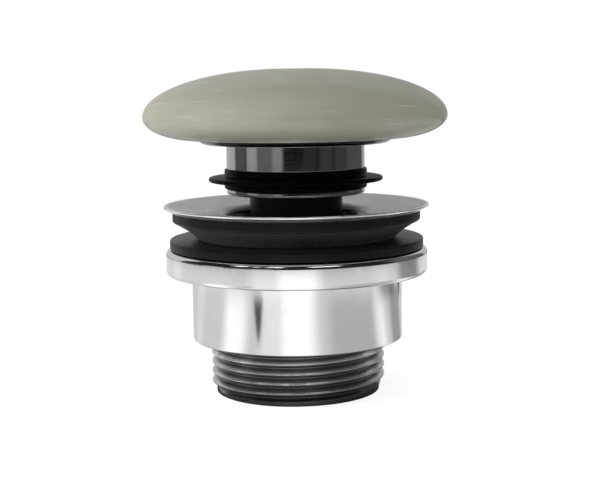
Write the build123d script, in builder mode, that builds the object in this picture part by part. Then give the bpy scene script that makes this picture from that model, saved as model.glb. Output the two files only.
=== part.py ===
from build123d import *
import os
from math import cos, radians, sin, sqrt, tan

# Sprung plug basin waste, standing on its threaded end, plug raised.
# Millimetres. The origin is the centre of the threaded end, and +Z is up.

os.makedirs("parts", exist_ok=True)

# Tail: a tube whose last stretch is turned down below the thread's crests
thread_crest_r = 20.955
tail_wall = 3.355
tail_end_inset = 1.115
tail_end_h = 1.5

# G 1 1/4 thread: 55 degree flanks, truncated by a sixth at crest and root
thread_pitch = 2.309
thread_depth_share = 0.6403
thread_root_share = 1 / 6
thread_flank_deg = 27.5
thread_start_deg = 131.0
thread_turns = 18
thread_cutter_reach = 0.2
thread_neck_h = 3.2
thread_neck_gap = 0.076

# Flange of the body: a thin dished disc, its rim higher than its throat
flange_r = 31.72
flange_t = 1.15
dish_drop = 1.8
throat_round = 2.8
thin_edge_share = 0.45

# Cross bar that carries the cartridge
bar_bottom_z = 14.0
bar_h = 4.0
bar_w = 3.2
bar_arms = 4
bar_bite = 0.2
bar_root_round = 0.8
boss_r = 9.0
boss_rise = 1.0

# Back nut
nut_clearance = 0.075
nut_wall = 4.27
nut_barrel_h = 15.8
nut_flange_inset = 0.33
nut_flange_h = 6.0
nut_top_round = 1.2
nut_under_round = 1.0
nut_foot_round = 0.8
nut_relief_step = 1.97
nut_relief_depth = 7.0
nut_lead = 0.8

# Rubber rings under the flange
stack_gap = 0.1
rubber_round = 0.35
washer_inset = 0.96
washer_h = 2.25
washer_hole_gap = 0.45
gasket_inset = 2.02
gasket_h = 6.85
gasket_rim_h = 2.35
gasket_foot_w = 2.645
gasket_foot_round = 0.6
gasket_cone_sag = 0.35
gasket_hole_gap = 0.25

# Cartridge housing: black neck in the throat, inside the plug's sleeve
neck_gap = 1.0
housing_rise = 2.85
housing_floor = 2.4
housing_foot_chamfer = 0.6
chamber_wall = 1.35
chamber_h = 11.7
ring_seat_w = 0.75
keyway_wall = 1.3

# Housing cap, screwed into the housing
cap_rim_h = 1.4
cap_rim_round = 0.5
cap_notches = 4
cap_notch_w = 1.6
cap_notch_depth = 0.8
screw_fit = 0.05

# Plunger with the closed index track round it
plunger_wall = 2.3
plunger_ceiling_t = 2.0
plunger_foot_gap = 2.556
guide_lugs = 3
guide_lug_w = 3.0
guide_h = 2.5
guide_gap = 0.4
guide_fit = 0.1
slide_fit = 0.05

# Index track, unrolled: angle round the plunger against height
overtravel = 1.0
track_lead = 60.0
track_kick_deg = 10.0
track_latch_deg = 14.0
track_exit_deg = 10.0
track_settle_deg = 10.0
track_settle_h = 1.2
track_w = 1.8
track_depth = 1.1
track_corner_relief = 0.06
track_cutter_reach = 0.6
track_cycles = 3

# Index ring and its pins
ring_w = 2.15
ring_h = 3.2
ring_fit = 0.1
ring_chamfer = 0.3
pin_r = 0.75
pin_fit = 0.02
pin_floor_gap = 0.15
pin_cover = 0.15

# Wiper ring in the housing cap
wiper_section_r = 0.62
wiper_inner_gap = 0.04
wiper_groove_gap = 0.03
wiper_below_top = 1.4

# Compression spring inside the plunger
spring_wire_r = 0.45
spring_side_gap = 0.45
spring_turns = 6.0
spring_dead_turns = 1.0
spring_dead_gap = 0.045
spring_end_gap = 0.02

# Stud, washer and nut that hold the cartridge to the cross bar
stud_r = 4.0
stud_fit = 0.1
stud_head_gap = 0.6
stud_head_h = 1.5
stud_peg_gap = 0.55
stud_peg_h = 6.0
stud_chamfer = 0.8
stud_tail = 0.9
stud_washer_r = 8.0
stud_washer_t = 1.6
lock_nut_af = 13.0
lock_nut_h = 6.5
lock_nut_cone_drop = 0.8
lock_nut_cone_deg = 60
lock_nut_cone_margin = 0.1

# Plug sleeve, raised above the flange's rim
plug_raise = 2.55
sleeve_wall = 4.4
sleeve_h = 11.9
sleeve_roof_t = 1.5
sleeve_edge_round = 0.5

# Plug seal in the sleeve's groove, with its lip
seal_side_gap = 0.53
seal_proud = 0.57
seal_groove_depth = 1.8
seal_rise = 1.27
seal_h = 4.78
seal_round = 0.5
lip_overlap = 3.24
lip_rise = 2.23
lip_root_t = 1.9
lip_tip_t = 0.9
seat_gap = 0.1

# Cap plate: polished dish with a threaded boss
plate_r = 23.2
plate_t = 1.2
plate_edge_w = 2.2
plate_boss_wall = 2.5
plate_boss_h = 7.0

# Stud in the plug
cap_stud_r = 3.0
cap_stud_fit = 0.1
cap_stud_below = 6.2
cap_stud_short = 0.8
cap_stud_chamfer = 0.5

# Ceramic cap: two elliptical arcs meet at its widest level
ceramic_r = 36.17
ceramic_low_h = 5.33
ceramic_dome_h = 11.13
ceramic_flat_r = 3.0
ceramic_foot_margin = 1.0
ceramic_seat_w = 4.2
ceramic_relief_depth = 3.4
ceramic_post_wall = 3.5
ceramic_socket_gap = 0.4

# Radii of the tail, the nut and the rubber rings
thread_depth = thread_depth_share * thread_pitch
thread_neck_r = thread_crest_r - thread_depth - thread_neck_gap
tail_end_r = thread_crest_r - tail_end_inset
tail_bore_r = thread_crest_r - tail_wall
nut_bore_r = thread_crest_r + nut_clearance
nut_barrel_r = nut_bore_r + nut_wall
nut_relief_r = nut_bore_r + nut_relief_step
nut_flange_r = flange_r - nut_flange_inset
washer_r = nut_flange_r - washer_inset
gasket_rim_r = flange_r - gasket_inset
gasket_foot_r = thread_crest_r + gasket_foot_w
gasket_hole_r = thread_crest_r + gasket_hole_gap

# Radii of the plug: its seal goes down the bore, its lip over the throat
seal_r = tail_bore_r - seal_side_gap
lip_r = tail_bore_r + lip_overlap
sleeve_r = seal_r - seal_proud
seal_groove_r = sleeve_r - seal_groove_depth
sleeve_bore_r = sleeve_r - sleeve_wall
plate_boss_r = cap_stud_r + cap_stud_fit + plate_boss_wall
ceramic_foot_r = plate_r + ceramic_foot_margin
ceramic_relief_r = plate_r - ceramic_seat_w
ceramic_socket_r = plate_boss_r + ceramic_socket_gap
ceramic_post_r = ceramic_socket_r + ceramic_post_wall

# Radii of the cartridge, from its housing inwards
housing_r = sleeve_bore_r - neck_gap
chamber_r = housing_r - chamber_wall
housing_bore_r = chamber_r - ring_seat_w
keyway_r = housing_r - keyway_wall
keyway_w = guide_lug_w + 2 * guide_fit
guide_lug_r = keyway_r - guide_fit
guide_collar_r = housing_bore_r - guide_fit
stud_head_r = housing_bore_r - stud_head_gap
ring_r = chamber_r - ring_fit
ring_bore_r = ring_r - ring_w
plunger_r = ring_bore_r - ring_fit
plunger_bore_r = plunger_r - plunger_wall
spring_mean_r = plunger_bore_r - spring_side_gap - spring_wire_r
stud_peg_r = spring_mean_r - spring_wire_r - stud_peg_gap

# The plug goes down until its lip lies on the dish
dish_slope = dish_drop / (flange_r - tail_bore_r)
lip_seat_r = lip_r - lip_tip_t / 2
lip_low_rise = plug_raise + seal_rise + lip_rise - lip_tip_t / 2
press_stroke = lip_low_rise + (flange_r - lip_seat_r) * dish_slope - seat_gap
track_rise = press_stroke + overtravel

# Heights from the cross bar up: the cartridge is as long as its stroke needs
bar_top_z = bar_bottom_z + bar_h
boss_bottom_z = bar_bottom_z - boss_rise
boss_top_z = bar_top_z + boss_rise
lock_nut_top_z = boss_bottom_z - stud_washer_t
lock_nut_bottom_z = lock_nut_top_z - lock_nut_h
stud_end_z = lock_nut_bottom_z - stud_tail
housing_floor_z = boss_top_z + housing_floor
stud_head_top_z = housing_floor_z + stud_head_h
stud_peg_top_z = stud_head_top_z + stud_peg_h
guide_bottom_z = stud_head_top_z + plunger_foot_gap + track_rise
ring_seat_z = guide_bottom_z + guide_h + guide_gap
ring_bottom_z = ring_seat_z + ring_fit
ring_top_z = ring_bottom_z + ring_h
pin_z = ring_bottom_z + ring_h / 2
housing_top_z = ring_seat_z + chamber_h
cap_top_z = housing_top_z + cap_rim_h

# Heights of the flange, and of what hangs under it
rim_top_z = housing_top_z - housing_rise
throat_top_z = rim_top_z - dish_drop
gasket_foot_z = rim_top_z - flange_t - gasket_h
washer_bottom_z = gasket_foot_z - stack_gap - washer_h
nut_top_z = washer_bottom_z - stack_gap
nut_shoulder_z = nut_top_z - nut_flange_h
nut_bottom_z = nut_shoulder_z - nut_barrel_h
nut_relief_z = nut_top_z - nut_relief_depth

# Heights of the raised plug
sleeve_bottom_z = rim_top_z + plug_raise
sleeve_top_z = sleeve_bottom_z + sleeve_h
seal_bottom_z = sleeve_bottom_z + seal_rise
seal_top_z = seal_bottom_z + seal_h
lip_z = seal_bottom_z + lip_rise
plunger_top_z = sleeve_top_z - sleeve_roof_t
cap_stud_bottom_z = plunger_top_z - cap_stud_below
plunger_ceiling_z = cap_stud_bottom_z - plunger_ceiling_t
plate_top_z = sleeve_top_z + plate_t
plate_boss_top_z = plate_top_z + plate_boss_h
cap_stud_top_z = plate_boss_top_z - cap_stud_short
ceramic_wide_z = plate_top_z + ceramic_low_h
ceramic_top_z = ceramic_wide_z + ceramic_dome_h
ceramic_socket_z = plate_boss_top_z + ceramic_socket_gap

# Edges are told apart by their length and height, to within this
edge_match = 0.01


def dish_top(r):
    """Height of the dished top of the flange at a radius."""
    return rim_top_z - (flange_r - r) * dish_slope


def dish_under(r):
    """Height of the flange's underside at a radius."""
    return dish_top(r) - flange_t


def corner(r, z):
    """The corner of the profile being drawn that lies nearest a radius and height."""
    return vertices().sort_by_distance((r, z, 0))[0]


# One turn of the tail thread's groove: a truncated V swept along its helix
thread_root_half = thread_root_share * thread_pitch / 2
thread_mouth_half = thread_root_half + (thread_depth + thread_cutter_reach) * tan(radians(thread_flank_deg))
with BuildPart() as thread_groove:
    with BuildLine(Plane.XY.offset(-thread_pitch / 2).rotated((0, 0, thread_start_deg))):
        Helix(thread_pitch, thread_pitch, thread_crest_r)
    thread_path = thread_groove.pending_edges[0]
    thread_foot = thread_path @ 0
    thread_outward = Vector(thread_foot.X, thread_foot.Y, 0).normalized()
    with BuildSketch(Plane(origin=thread_foot, x_dir=thread_outward, z_dir=thread_path % 0)):
        with BuildLine():
            Polyline(
                (-thread_depth, -thread_root_half),
                (thread_cutter_reach, -thread_mouth_half),
                (thread_cutter_reach, thread_mouth_half),
                (-thread_depth, thread_root_half),
                close=True,
            )
        make_face()
    sweep(path=thread_path, is_frenet=True)

# Waste body: tail, flange and cross bar in one casting
thread_top_z = dish_under(thread_neck_r) - thread_neck_h
with BuildPart() as waste_body:
    with BuildSketch(Plane.XZ):
        with BuildLine():
            Polyline(
                (tail_bore_r, 0),
                (tail_end_r, 0),
                (tail_end_r, tail_end_h),
                (thread_crest_r, tail_end_h + tail_end_inset),
                (thread_crest_r, thread_top_z),
                (thread_neck_r, thread_top_z),
                (thread_neck_r, dish_under(thread_neck_r)),
                (flange_r, dish_under(flange_r)),
                (flange_r, rim_top_z),
                (tail_bore_r, throat_top_z),
                close=True,
            )
        make_face()
        fillet(vertices().group_by(Axis.X)[-1], flange_t * thin_edge_share)
        fillet(corner(tail_bore_r, throat_top_z), throat_round)
    revolve(axis=Axis.Z)
    with Locations([(0, 0, turn * thread_pitch) for turn in range(thread_turns)]):
        add(thread_groove.part, mode=Mode.SUBTRACT)
    with BuildSketch(Plane.XY.offset(boss_bottom_z)):
        Circle(boss_r)
    extrude(amount=boss_top_z - boss_bottom_z)
    with BuildSketch(Plane.XY.offset(bar_bottom_z)):
        with PolarLocations(0, bar_arms, start_angle=180 / bar_arms):
            with Locations((tail_bore_r / 2 + bar_bite, 0)):
                Rectangle(tail_bore_r, bar_w)
    extrude(amount=bar_h)
    bar_middle_z = bar_bottom_z + bar_h / 2
    bar_roots = [
        e
        for e in waste_body.edges().filter_by(Axis.Z)
        if abs(e.length - bar_h) < edge_match and abs(e.center().Z - bar_middle_z) < edge_match
    ]
    fillet(bar_roots, bar_root_round)
    with Locations((0, 0, boss_top_z)):
        Hole(stud_r + stud_fit, depth=boss_top_z - boss_bottom_z)
waste_body.part.label = "waste_body"
export_step(waste_body.part, "parts/waste_body.step")

# Back nut: barrel with a flange, thread over its lower length
with BuildPart() as back_nut:
    with BuildSketch(Plane.XZ):
        with BuildLine():
            Polyline(
                (nut_bore_r + nut_lead, nut_bottom_z),
                (nut_barrel_r, nut_bottom_z),
                (nut_barrel_r, nut_shoulder_z),
                (nut_flange_r, nut_shoulder_z),
                (nut_flange_r, nut_top_z),
                (nut_relief_r, nut_top_z),
                (nut_relief_r, nut_relief_z),
                (nut_bore_r, nut_relief_z - nut_relief_step),
                (nut_bore_r, nut_bottom_z + nut_lead),
                close=True,
            )
        make_face()
        fillet(corner(nut_flange_r, nut_top_z), nut_top_round)
        fillet(corner(nut_flange_r, nut_shoulder_z), nut_under_round)
        fillet(corner(nut_barrel_r, nut_bottom_z), nut_foot_round)
    revolve(axis=Axis.Z)
back_nut.part.label = "back_nut"
export_step(back_nut.part, "parts/back_nut.step")

# Basin washer: flat rubber ring on the nut
with BuildPart() as basin_washer:
    with BuildSketch(Plane.XY.offset(washer_bottom_z)):
        Circle(washer_r)
        Circle(thread_crest_r + washer_hole_gap, mode=Mode.SUBTRACT)
    extrude(amount=washer_h)
    fillet(basin_washer.edges().filter_by(GeomType.CIRCLE), rubber_round)
basin_washer.part.label = "basin_washer"
export_step(basin_washer.part, "parts/basin_washer.step")

# Flange gasket: rim under the flange, cone down to a narrow foot
gasket_rim_low_z = dish_under(gasket_rim_r) - gasket_rim_h
with BuildPart() as flange_gasket:
    with BuildSketch(Plane.XZ):
        with BuildLine():
            inner = Line((gasket_hole_r, gasket_foot_z), (gasket_hole_r, dish_under(gasket_hole_r)))
            top = Line(inner @ 1, (gasket_rim_r, dish_under(gasket_rim_r)))
            rim = Line(top @ 1, (gasket_rim_r, gasket_rim_low_z))
            cone = SagittaArc(rim @ 1, (gasket_foot_r, gasket_foot_z), gasket_cone_sag)
            foot = Line(cone @ 1, inner @ 0)
        make_face()
        fillet(corner(gasket_foot_r, gasket_foot_z), gasket_foot_round)
        fillet(corner(gasket_rim_r, gasket_rim_low_z), rubber_round)
    revolve(axis=Axis.Z)
flange_gasket.part.label = "flange_gasket"
export_step(flange_gasket.part, "parts/flange_gasket.step")

# Cartridge housing: bore with keyways, chamber for the index ring above
with BuildPart() as cartridge_housing:
    with BuildSketch(Plane.XZ):
        with BuildLine():
            Polyline(
                (stud_r + stud_fit, boss_top_z),
                (housing_r, boss_top_z),
                (housing_r, housing_top_z),
                (chamber_r, housing_top_z),
                (chamber_r, ring_seat_z),
                (housing_bore_r, ring_seat_z),
                (housing_bore_r, housing_floor_z),
                (stud_r + stud_fit, housing_floor_z),
                close=True,
            )
        make_face()
    revolve(axis=Axis.Z)
    with BuildSketch(Plane.XY.offset(housing_floor_z)):
        with PolarLocations(0, guide_lugs):
            with Locations((keyway_r / 2, 0)):
                Rectangle(keyway_r, keyway_w)
        Circle(keyway_r, mode=Mode.INTERSECT)
    extrude(amount=ring_seat_z - housing_floor_z, mode=Mode.SUBTRACT)
    foot_edge = cartridge_housing.edges().group_by(Axis.Z)[0].sort_by(SortBy.RADIUS)[-1]
    chamfer(foot_edge, housing_foot_chamfer)
cartridge_housing.part.label = "cartridge_housing"
export_step(cartridge_housing.part, "parts/cartridge_housing.step")

# Housing cap: rim with spanner notches, spigot down to the index ring
cap_bore_r = plunger_r + slide_fit
spigot_r = chamber_r - screw_fit
wiper_mean_r = plunger_r + wiper_inner_gap + wiper_section_r
wiper_z = cap_top_z - wiper_below_top
wiper_groove_r = wiper_mean_r + wiper_section_r + wiper_groove_gap
wiper_groove_h = 2 * (wiper_section_r + wiper_groove_gap)
with BuildPart() as housing_cap:
    with BuildSketch(Plane.XZ):
        with BuildLine():
            Polyline(
                (cap_bore_r, ring_top_z + ring_fit),
                (spigot_r, ring_top_z + ring_fit),
                (spigot_r, housing_top_z),
                (housing_r, housing_top_z),
                (housing_r, cap_top_z),
                (cap_bore_r, cap_top_z),
                close=True,
            )
        make_face()
        fillet(corner(housing_r, cap_top_z), cap_rim_round)
        with Locations(((cap_bore_r + wiper_groove_r) / 2, wiper_z)):
            Rectangle(wiper_groove_r - cap_bore_r, wiper_groove_h, mode=Mode.SUBTRACT)
    revolve(axis=Axis.Z)
    with BuildSketch(Plane.XY.offset(cap_top_z)):
        with PolarLocations(housing_r, cap_notches):
            Rectangle(2 * cap_notch_w, cap_notch_w)
    extrude(amount=-cap_notch_depth, mode=Mode.SUBTRACT)
housing_cap.part.label = "housing_cap"
export_step(housing_cap.part, "parts/housing_cap.step")

# Wiper ring round the plunger
with BuildPart() as wiper_ring:
    with BuildSketch(Plane.XZ):
        with Locations((wiper_mean_r, wiper_z)):
            Circle(wiper_section_r)
    revolve(axis=Axis.Z)
wiper_ring.part.label = "wiper_ring"
export_step(wiper_ring.part, "parts/wiper_ring.step")

# Index track: corners of one cycle as angle and height above the raised notch
close_deg = 360 * press_stroke / track_lead
kick_deg = close_deg + track_kick_deg
latch_deg = kick_deg + track_latch_deg
exit_deg = latch_deg + track_exit_deg
cycle_deg = 360 / track_cycles
track_corners = [
    (0.0, 0.0),
    (close_deg, press_stroke),
    (kick_deg, track_rise),
    (latch_deg, press_stroke),
    (exit_deg, track_rise),
    (cycle_deg - track_settle_deg, track_settle_h),
    (cycle_deg, 0.0),
]
track_floor_r = plunger_r - track_depth
cutter_depth = track_depth + track_cutter_reach


def track_leg(start, end):
    """Cutter for one straight leg of the unrolled track: a slot along a helix."""
    low, high = sorted((start, end), key=lambda end_point: end_point[1])
    turn = high[0] - low[0]
    rise = high[1] - low[1]
    with BuildPart() as leg:
        with BuildLine(Plane.XY.offset(pin_z + low[1]).rotated((0, 0, low[0]))):
            Helix(360 * rise / abs(turn), rise, plunger_r, lefthand=turn < 0)
        path = leg.pending_edges[0]
        foot = path @ 0
        outward = Vector(foot.X, foot.Y, 0).normalized()
        with BuildSketch(Plane(origin=foot, x_dir=outward, z_dir=path % 0)):
            with Locations((cutter_depth / 2 - track_depth, 0)):
                Rectangle(cutter_depth, track_w)
        sweep(path=path, is_frenet=True)
    return leg.part


def radial_plane(turn, r, z):
    """Plane that faces outwards at an angle, radius and height."""
    outward = Vector(cos(radians(turn)), sin(radians(turn)), 0)
    return Plane(origin=outward * r + Vector(0, 0, z), x_dir=(0, 0, 1), z_dir=outward)


def track_pocket(turn, height):
    """Round cutter where two legs meet."""
    with BuildPart() as pocket:
        with BuildSketch(radial_plane(turn, track_floor_r, pin_z + height)):
            Circle(track_w / 2 + track_corner_relief)
        extrude(amount=cutter_depth)
    return pocket.part


track_cutters = [track_leg(a, b) for a, b in zip(track_corners, track_corners[1:])]
track_cutters += [track_pocket(*bend) for bend in track_corners[:-1]]

# Plunger: hollow for the spring, tapped for the cap stud, three guide lugs
with BuildPart() as plunger:
    with BuildSketch(Plane.XY.offset(guide_bottom_z)):
        Circle(plunger_r)
    extrude(amount=plunger_top_z - guide_bottom_z)
    with BuildSketch(Plane.XY.offset(guide_bottom_z)):
        with PolarLocations(0, guide_lugs):
            with Locations((guide_lug_r / 2, 0)):
                Rectangle(guide_lug_r, guide_lug_w)
        Circle(guide_lug_r, mode=Mode.INTERSECT)
        Circle(guide_collar_r)
    extrude(amount=guide_h)
    with Locations((0, 0, plunger_top_z)):
        Hole(cap_stud_r + cap_stud_fit, depth=cap_stud_below)
    with Locations(Plane((0, 0, guide_bottom_z), z_dir=(0, 0, -1))):
        Hole(plunger_bore_r, depth=plunger_ceiling_z - guide_bottom_z)
    with PolarLocations(0, track_cycles):
        add(track_cutters, mode=Mode.SUBTRACT)
plunger.part.label = "plunger"
export_step(plunger.part, "parts/plunger.step")

# Index ring: turns in its chamber, drilled for the pins
pin_inner_r = track_floor_r + pin_floor_gap
pin_outer_r = ring_r - pin_cover


def pin_plane(pin):
    """Plane at a pin's inner end, facing along the pin."""
    return radial_plane(pin * cycle_deg, pin_inner_r, pin_z)


with BuildPart() as index_ring:
    with BuildSketch(Plane.XY.offset(ring_bottom_z)):
        Circle(ring_r)
        Circle(ring_bore_r, mode=Mode.SUBTRACT)
    extrude(amount=ring_h)
    chamfer(index_ring.edges().filter_by(GeomType.CIRCLE).group_by(SortBy.RADIUS)[-1], ring_chamfer)
    for pin in range(track_cycles):
        with BuildSketch(pin_plane(pin)):
            Circle(pin_r + pin_fit)
        extrude(amount=ring_r, mode=Mode.SUBTRACT)
index_ring.part.label = "index_ring"
export_step(index_ring.part, "parts/index_ring.step")

# Index pins: run in the track
with BuildPart() as index_pins:
    for pin in range(track_cycles):
        with BuildSketch(pin_plane(pin)):
            Circle(pin_r)
        extrude(amount=pin_outer_r - pin_inner_r)
index_pins.part.label = "index_pins"
export_step(index_pins.part, "parts/index_pins.step")

# Spring: open coils between one closed coil at each end
spring_low_z = stud_head_top_z + spring_end_gap + spring_wire_r
spring_high_z = plunger_ceiling_z - spring_end_gap - spring_wire_r
dead_h = (2 * spring_wire_r + spring_dead_gap) * spring_dead_turns
live_h = spring_high_z - spring_low_z - 2 * dead_h
spring_runs = [
    (spring_low_z, dead_h, spring_dead_turns),
    (spring_low_z + dead_h, live_h, spring_turns),
    (spring_high_z - dead_h, dead_h, spring_dead_turns),
]
with BuildPart() as spring:
    for run_z, run_h, run_turns in spring_runs:
        with BuildLine(Plane.XY.offset(run_z)):
            Helix(run_h / run_turns, run_h, spring_mean_r)
        coil = spring.pending_edges[-1]
        with BuildSketch(Plane(origin=coil @ 0, z_dir=coil % 0)):
            Circle(spring_wire_r)
        sweep(path=coil, is_frenet=True)
    for joint_z in (spring_low_z + dead_h, spring_high_z - dead_h):
        with Locations((spring_mean_r, 0, joint_z)):
            Sphere(spring_wire_r)
spring.part.label = "spring"
export_step(spring.part, "parts/spring.step")

# Cartridge stud: spring's foot inside, thread down through the boss
with BuildPart() as cartridge_stud:
    with BuildSketch(Plane.XZ):
        with BuildLine():
            Polyline(
                (0, stud_end_z),
                (stud_r, stud_end_z),
                (stud_r, housing_floor_z),
                (stud_head_r, housing_floor_z),
                (stud_head_r, stud_head_top_z),
                (stud_peg_r, stud_head_top_z),
                (stud_peg_r, stud_peg_top_z),
                (0, stud_peg_top_z),
                close=True,
            )
        make_face()
        chamfer(corner(stud_r, stud_end_z), stud_chamfer)
        chamfer(corner(stud_peg_r, stud_peg_top_z), stud_chamfer)
    revolve(axis=Axis.Z)
cartridge_stud.part.label = "cartridge_stud"
export_step(cartridge_stud.part, "parts/cartridge_stud.step")

# Stud washer under the boss
with BuildPart() as stud_washer:
    with BuildSketch(Plane.XY.offset(boss_bottom_z)):
        Circle(stud_washer_r)
        Circle(stud_r + stud_fit, mode=Mode.SUBTRACT)
    extrude(amount=-stud_washer_t)
stud_washer.part.label = "stud_washer"
export_step(stud_washer.part, "parts/stud_washer.step")

# Lock nut: hexagon with both faces chamfered by a cone
lock_nut_corner_r = lock_nut_af / sqrt(3)
cone_r = lock_nut_corner_r + lock_nut_cone_margin
cone_end_r = cone_r - lock_nut_cone_drop * tan(radians(lock_nut_cone_deg))
with BuildPart() as lock_nut:
    with BuildSketch(Plane.XY.offset(lock_nut_bottom_z)):
        RegularPolygon(lock_nut_corner_r, 6)
        Circle(stud_r + stud_fit / 2, mode=Mode.SUBTRACT)
    extrude(amount=lock_nut_h)
    with BuildSketch(Plane.XZ):
        with BuildLine():
            Polyline(
                (0, lock_nut_bottom_z),
                (cone_end_r, lock_nut_bottom_z),
                (cone_r, lock_nut_bottom_z + lock_nut_cone_drop),
                (cone_r, lock_nut_top_z - lock_nut_cone_drop),
                (cone_end_r, lock_nut_top_z),
                (0, lock_nut_top_z),
                close=True,
            )
        make_face()
    revolve(axis=Axis.Z, mode=Mode.INTERSECT)
lock_nut.part.label = "lock_nut"
export_step(lock_nut.part, "parts/lock_nut.step")

# Plug sleeve: turned cup, open below, with the seal's groove
with BuildPart() as plug_sleeve:
    with BuildSketch(Plane.XZ):
        with BuildLine():
            Polyline(
                (sleeve_bore_r, sleeve_bottom_z),
                (sleeve_r, sleeve_bottom_z),
                (sleeve_r, seal_bottom_z),
                (seal_groove_r, seal_bottom_z),
                (seal_groove_r, seal_top_z),
                (sleeve_r, seal_top_z),
                (sleeve_r, sleeve_top_z),
                (cap_stud_r + cap_stud_fit, sleeve_top_z),
                (cap_stud_r + cap_stud_fit, plunger_top_z),
                (sleeve_bore_r, plunger_top_z),
                close=True,
            )
        make_face()
        fillet(corner(sleeve_r, sleeve_bottom_z), sleeve_edge_round)
    revolve(axis=Axis.Z)
plug_sleeve.part.label = "plug_sleeve"
export_step(plug_sleeve.part, "parts/plug_sleeve.step")

# Plug seal: rubber band with a tapering lip
with BuildPart() as plug_seal:
    with BuildSketch(Plane.XZ):
        with BuildLine():
            Polyline(
                (seal_groove_r, seal_bottom_z),
                (seal_r, seal_bottom_z),
                (seal_r, lip_z - lip_root_t / 2),
                (lip_r, lip_z - lip_tip_t / 2),
                (lip_r, lip_z + lip_tip_t / 2),
                (seal_r, lip_z + lip_root_t / 2),
                (seal_r, seal_top_z),
                (seal_groove_r, seal_top_z),
                close=True,
            )
        make_face()
        fillet(vertices().group_by(Axis.X)[-1], lip_tip_t * thin_edge_share)
        for corner_z in (seal_bottom_z, seal_top_z):
            fillet(corner(seal_r, corner_z), seal_round)
    revolve(axis=Axis.Z)
plug_seal.part.label = "plug_seal"
export_step(plug_seal.part, "parts/plug_seal.step")

# Cap plate: disc whose underside curves up to its edge, and a boss for the stud
with BuildPart() as cap_plate:
    with BuildSketch(Plane.XZ):
        with BuildLine():
            under = Line((cap_stud_r + cap_stud_fit, sleeve_top_z), (plate_r - plate_edge_w, sleeve_top_z))
            edge = TangentArc(under @ 1, (plate_r, plate_top_z), tangent=under % 1)
            Polyline(
                edge @ 1,
                (plate_boss_r, plate_top_z),
                (plate_boss_r, plate_boss_top_z),
                (cap_stud_r + cap_stud_fit, plate_boss_top_z),
                under @ 0,
            )
        make_face()
    revolve(axis=Axis.Z)
cap_plate.part.label = "cap_plate"
export_step(cap_plate.part, "parts/cap_plate.step")

# Cap stud: from the plunger up into the plate's boss
with BuildPart() as cap_stud:
    with BuildSketch(Plane.XY.offset(cap_stud_bottom_z)):
        Circle(cap_stud_r)
    extrude(amount=cap_stud_top_z - cap_stud_bottom_z)
    chamfer(cap_stud.edges().filter_by(GeomType.CIRCLE), cap_stud_chamfer)
cap_stud.part.label = "cap_stud"
export_step(cap_stud.part, "parts/cap_stud.step")

# Ceramic cap: dome and rim, relieved underneath round the plate's boss
with BuildPart() as ceramic_cap:
    with BuildSketch(Plane.XZ):
        with BuildLine():
            dome = EllipticalCenterArc(
                (ceramic_flat_r, ceramic_wide_z),
                ceramic_r - ceramic_flat_r,
                ceramic_top_z - ceramic_wide_z,
                start_angle=0,
                arc_size=90,
            )
            Line(dome @ 1, (0, ceramic_top_z))
            Line((0, ceramic_top_z), (0, plate_top_z))
            Line((0, plate_top_z), (ceramic_foot_r, plate_top_z))
            EllipticalCenterArc(
                (ceramic_foot_r, ceramic_wide_z),
                ceramic_r - ceramic_foot_r,
                ceramic_wide_z - plate_top_z,
                start_angle=270,
                arc_size=90,
            )
        make_face()
    revolve(axis=Axis.Z)
    with BuildSketch(Plane.XY.offset(plate_top_z)):
        Circle(ceramic_relief_r)
        Circle(ceramic_post_r, mode=Mode.SUBTRACT)
    extrude(amount=ceramic_relief_depth, mode=Mode.SUBTRACT)
    with BuildSketch(Plane.XY.offset(plate_top_z)):
        Circle(ceramic_socket_r)
    extrude(amount=ceramic_socket_z - plate_top_z, mode=Mode.SUBTRACT)
ceramic_cap.part.label = "ceramic_cap"
export_step(ceramic_cap.part, "parts/ceramic_cap.step")

print("rim height", round(rim_top_z, 4))
print("press stroke", round(press_stroke, 4))
print("index turn over the stroke", round(close_deg, 3))
print("track corners", [(round(a, 2), round(z, 2)) for a, z in track_corners])
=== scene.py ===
# %% [markdown]
# A sprung plug basin waste, dressed for a photograph. The mechanical parts come in as a fixed
# frame, each as its own mesh at its real place, in metres. This script gives them their finish,
# and turns finer meshes for the pieces that show: the glazed cap, the steel sleeve, the rubber
# rings, the chromed nut and the threaded tail.

# %% Load the frame
import bmesh
import bpy
from math import asin, cos, degrees, pi, radians, sin
from mathutils import Euler, Matrix, Vector


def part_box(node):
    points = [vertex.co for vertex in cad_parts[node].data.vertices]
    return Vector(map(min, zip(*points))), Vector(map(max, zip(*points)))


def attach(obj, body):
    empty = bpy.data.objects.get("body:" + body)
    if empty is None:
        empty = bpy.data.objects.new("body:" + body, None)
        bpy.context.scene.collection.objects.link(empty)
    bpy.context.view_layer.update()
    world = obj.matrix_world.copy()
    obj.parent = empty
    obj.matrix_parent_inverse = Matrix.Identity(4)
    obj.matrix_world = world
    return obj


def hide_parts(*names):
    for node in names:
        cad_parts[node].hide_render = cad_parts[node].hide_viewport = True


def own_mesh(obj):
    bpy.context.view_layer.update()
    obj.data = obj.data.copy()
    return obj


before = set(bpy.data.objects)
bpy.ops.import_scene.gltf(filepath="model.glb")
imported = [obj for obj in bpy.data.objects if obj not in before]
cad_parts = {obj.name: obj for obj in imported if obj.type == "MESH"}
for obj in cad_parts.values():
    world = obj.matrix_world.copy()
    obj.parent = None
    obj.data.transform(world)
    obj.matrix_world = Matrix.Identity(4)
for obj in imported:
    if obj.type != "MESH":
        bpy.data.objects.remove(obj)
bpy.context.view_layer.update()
mm = 0.001

# %% [markdown]
# Nearly every piece here was made on a lathe or in a round mould, so the frame can be read with
# two numbers a piece: how far out it reaches, and the levels it lies between.


# %% Read sizes from the frame
def reach(node):
    """Outer radius, lowest level and highest level of a round node, in millimetres."""
    low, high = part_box(node)
    return high.x / mm, low.z / mm, high.z / mm


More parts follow.
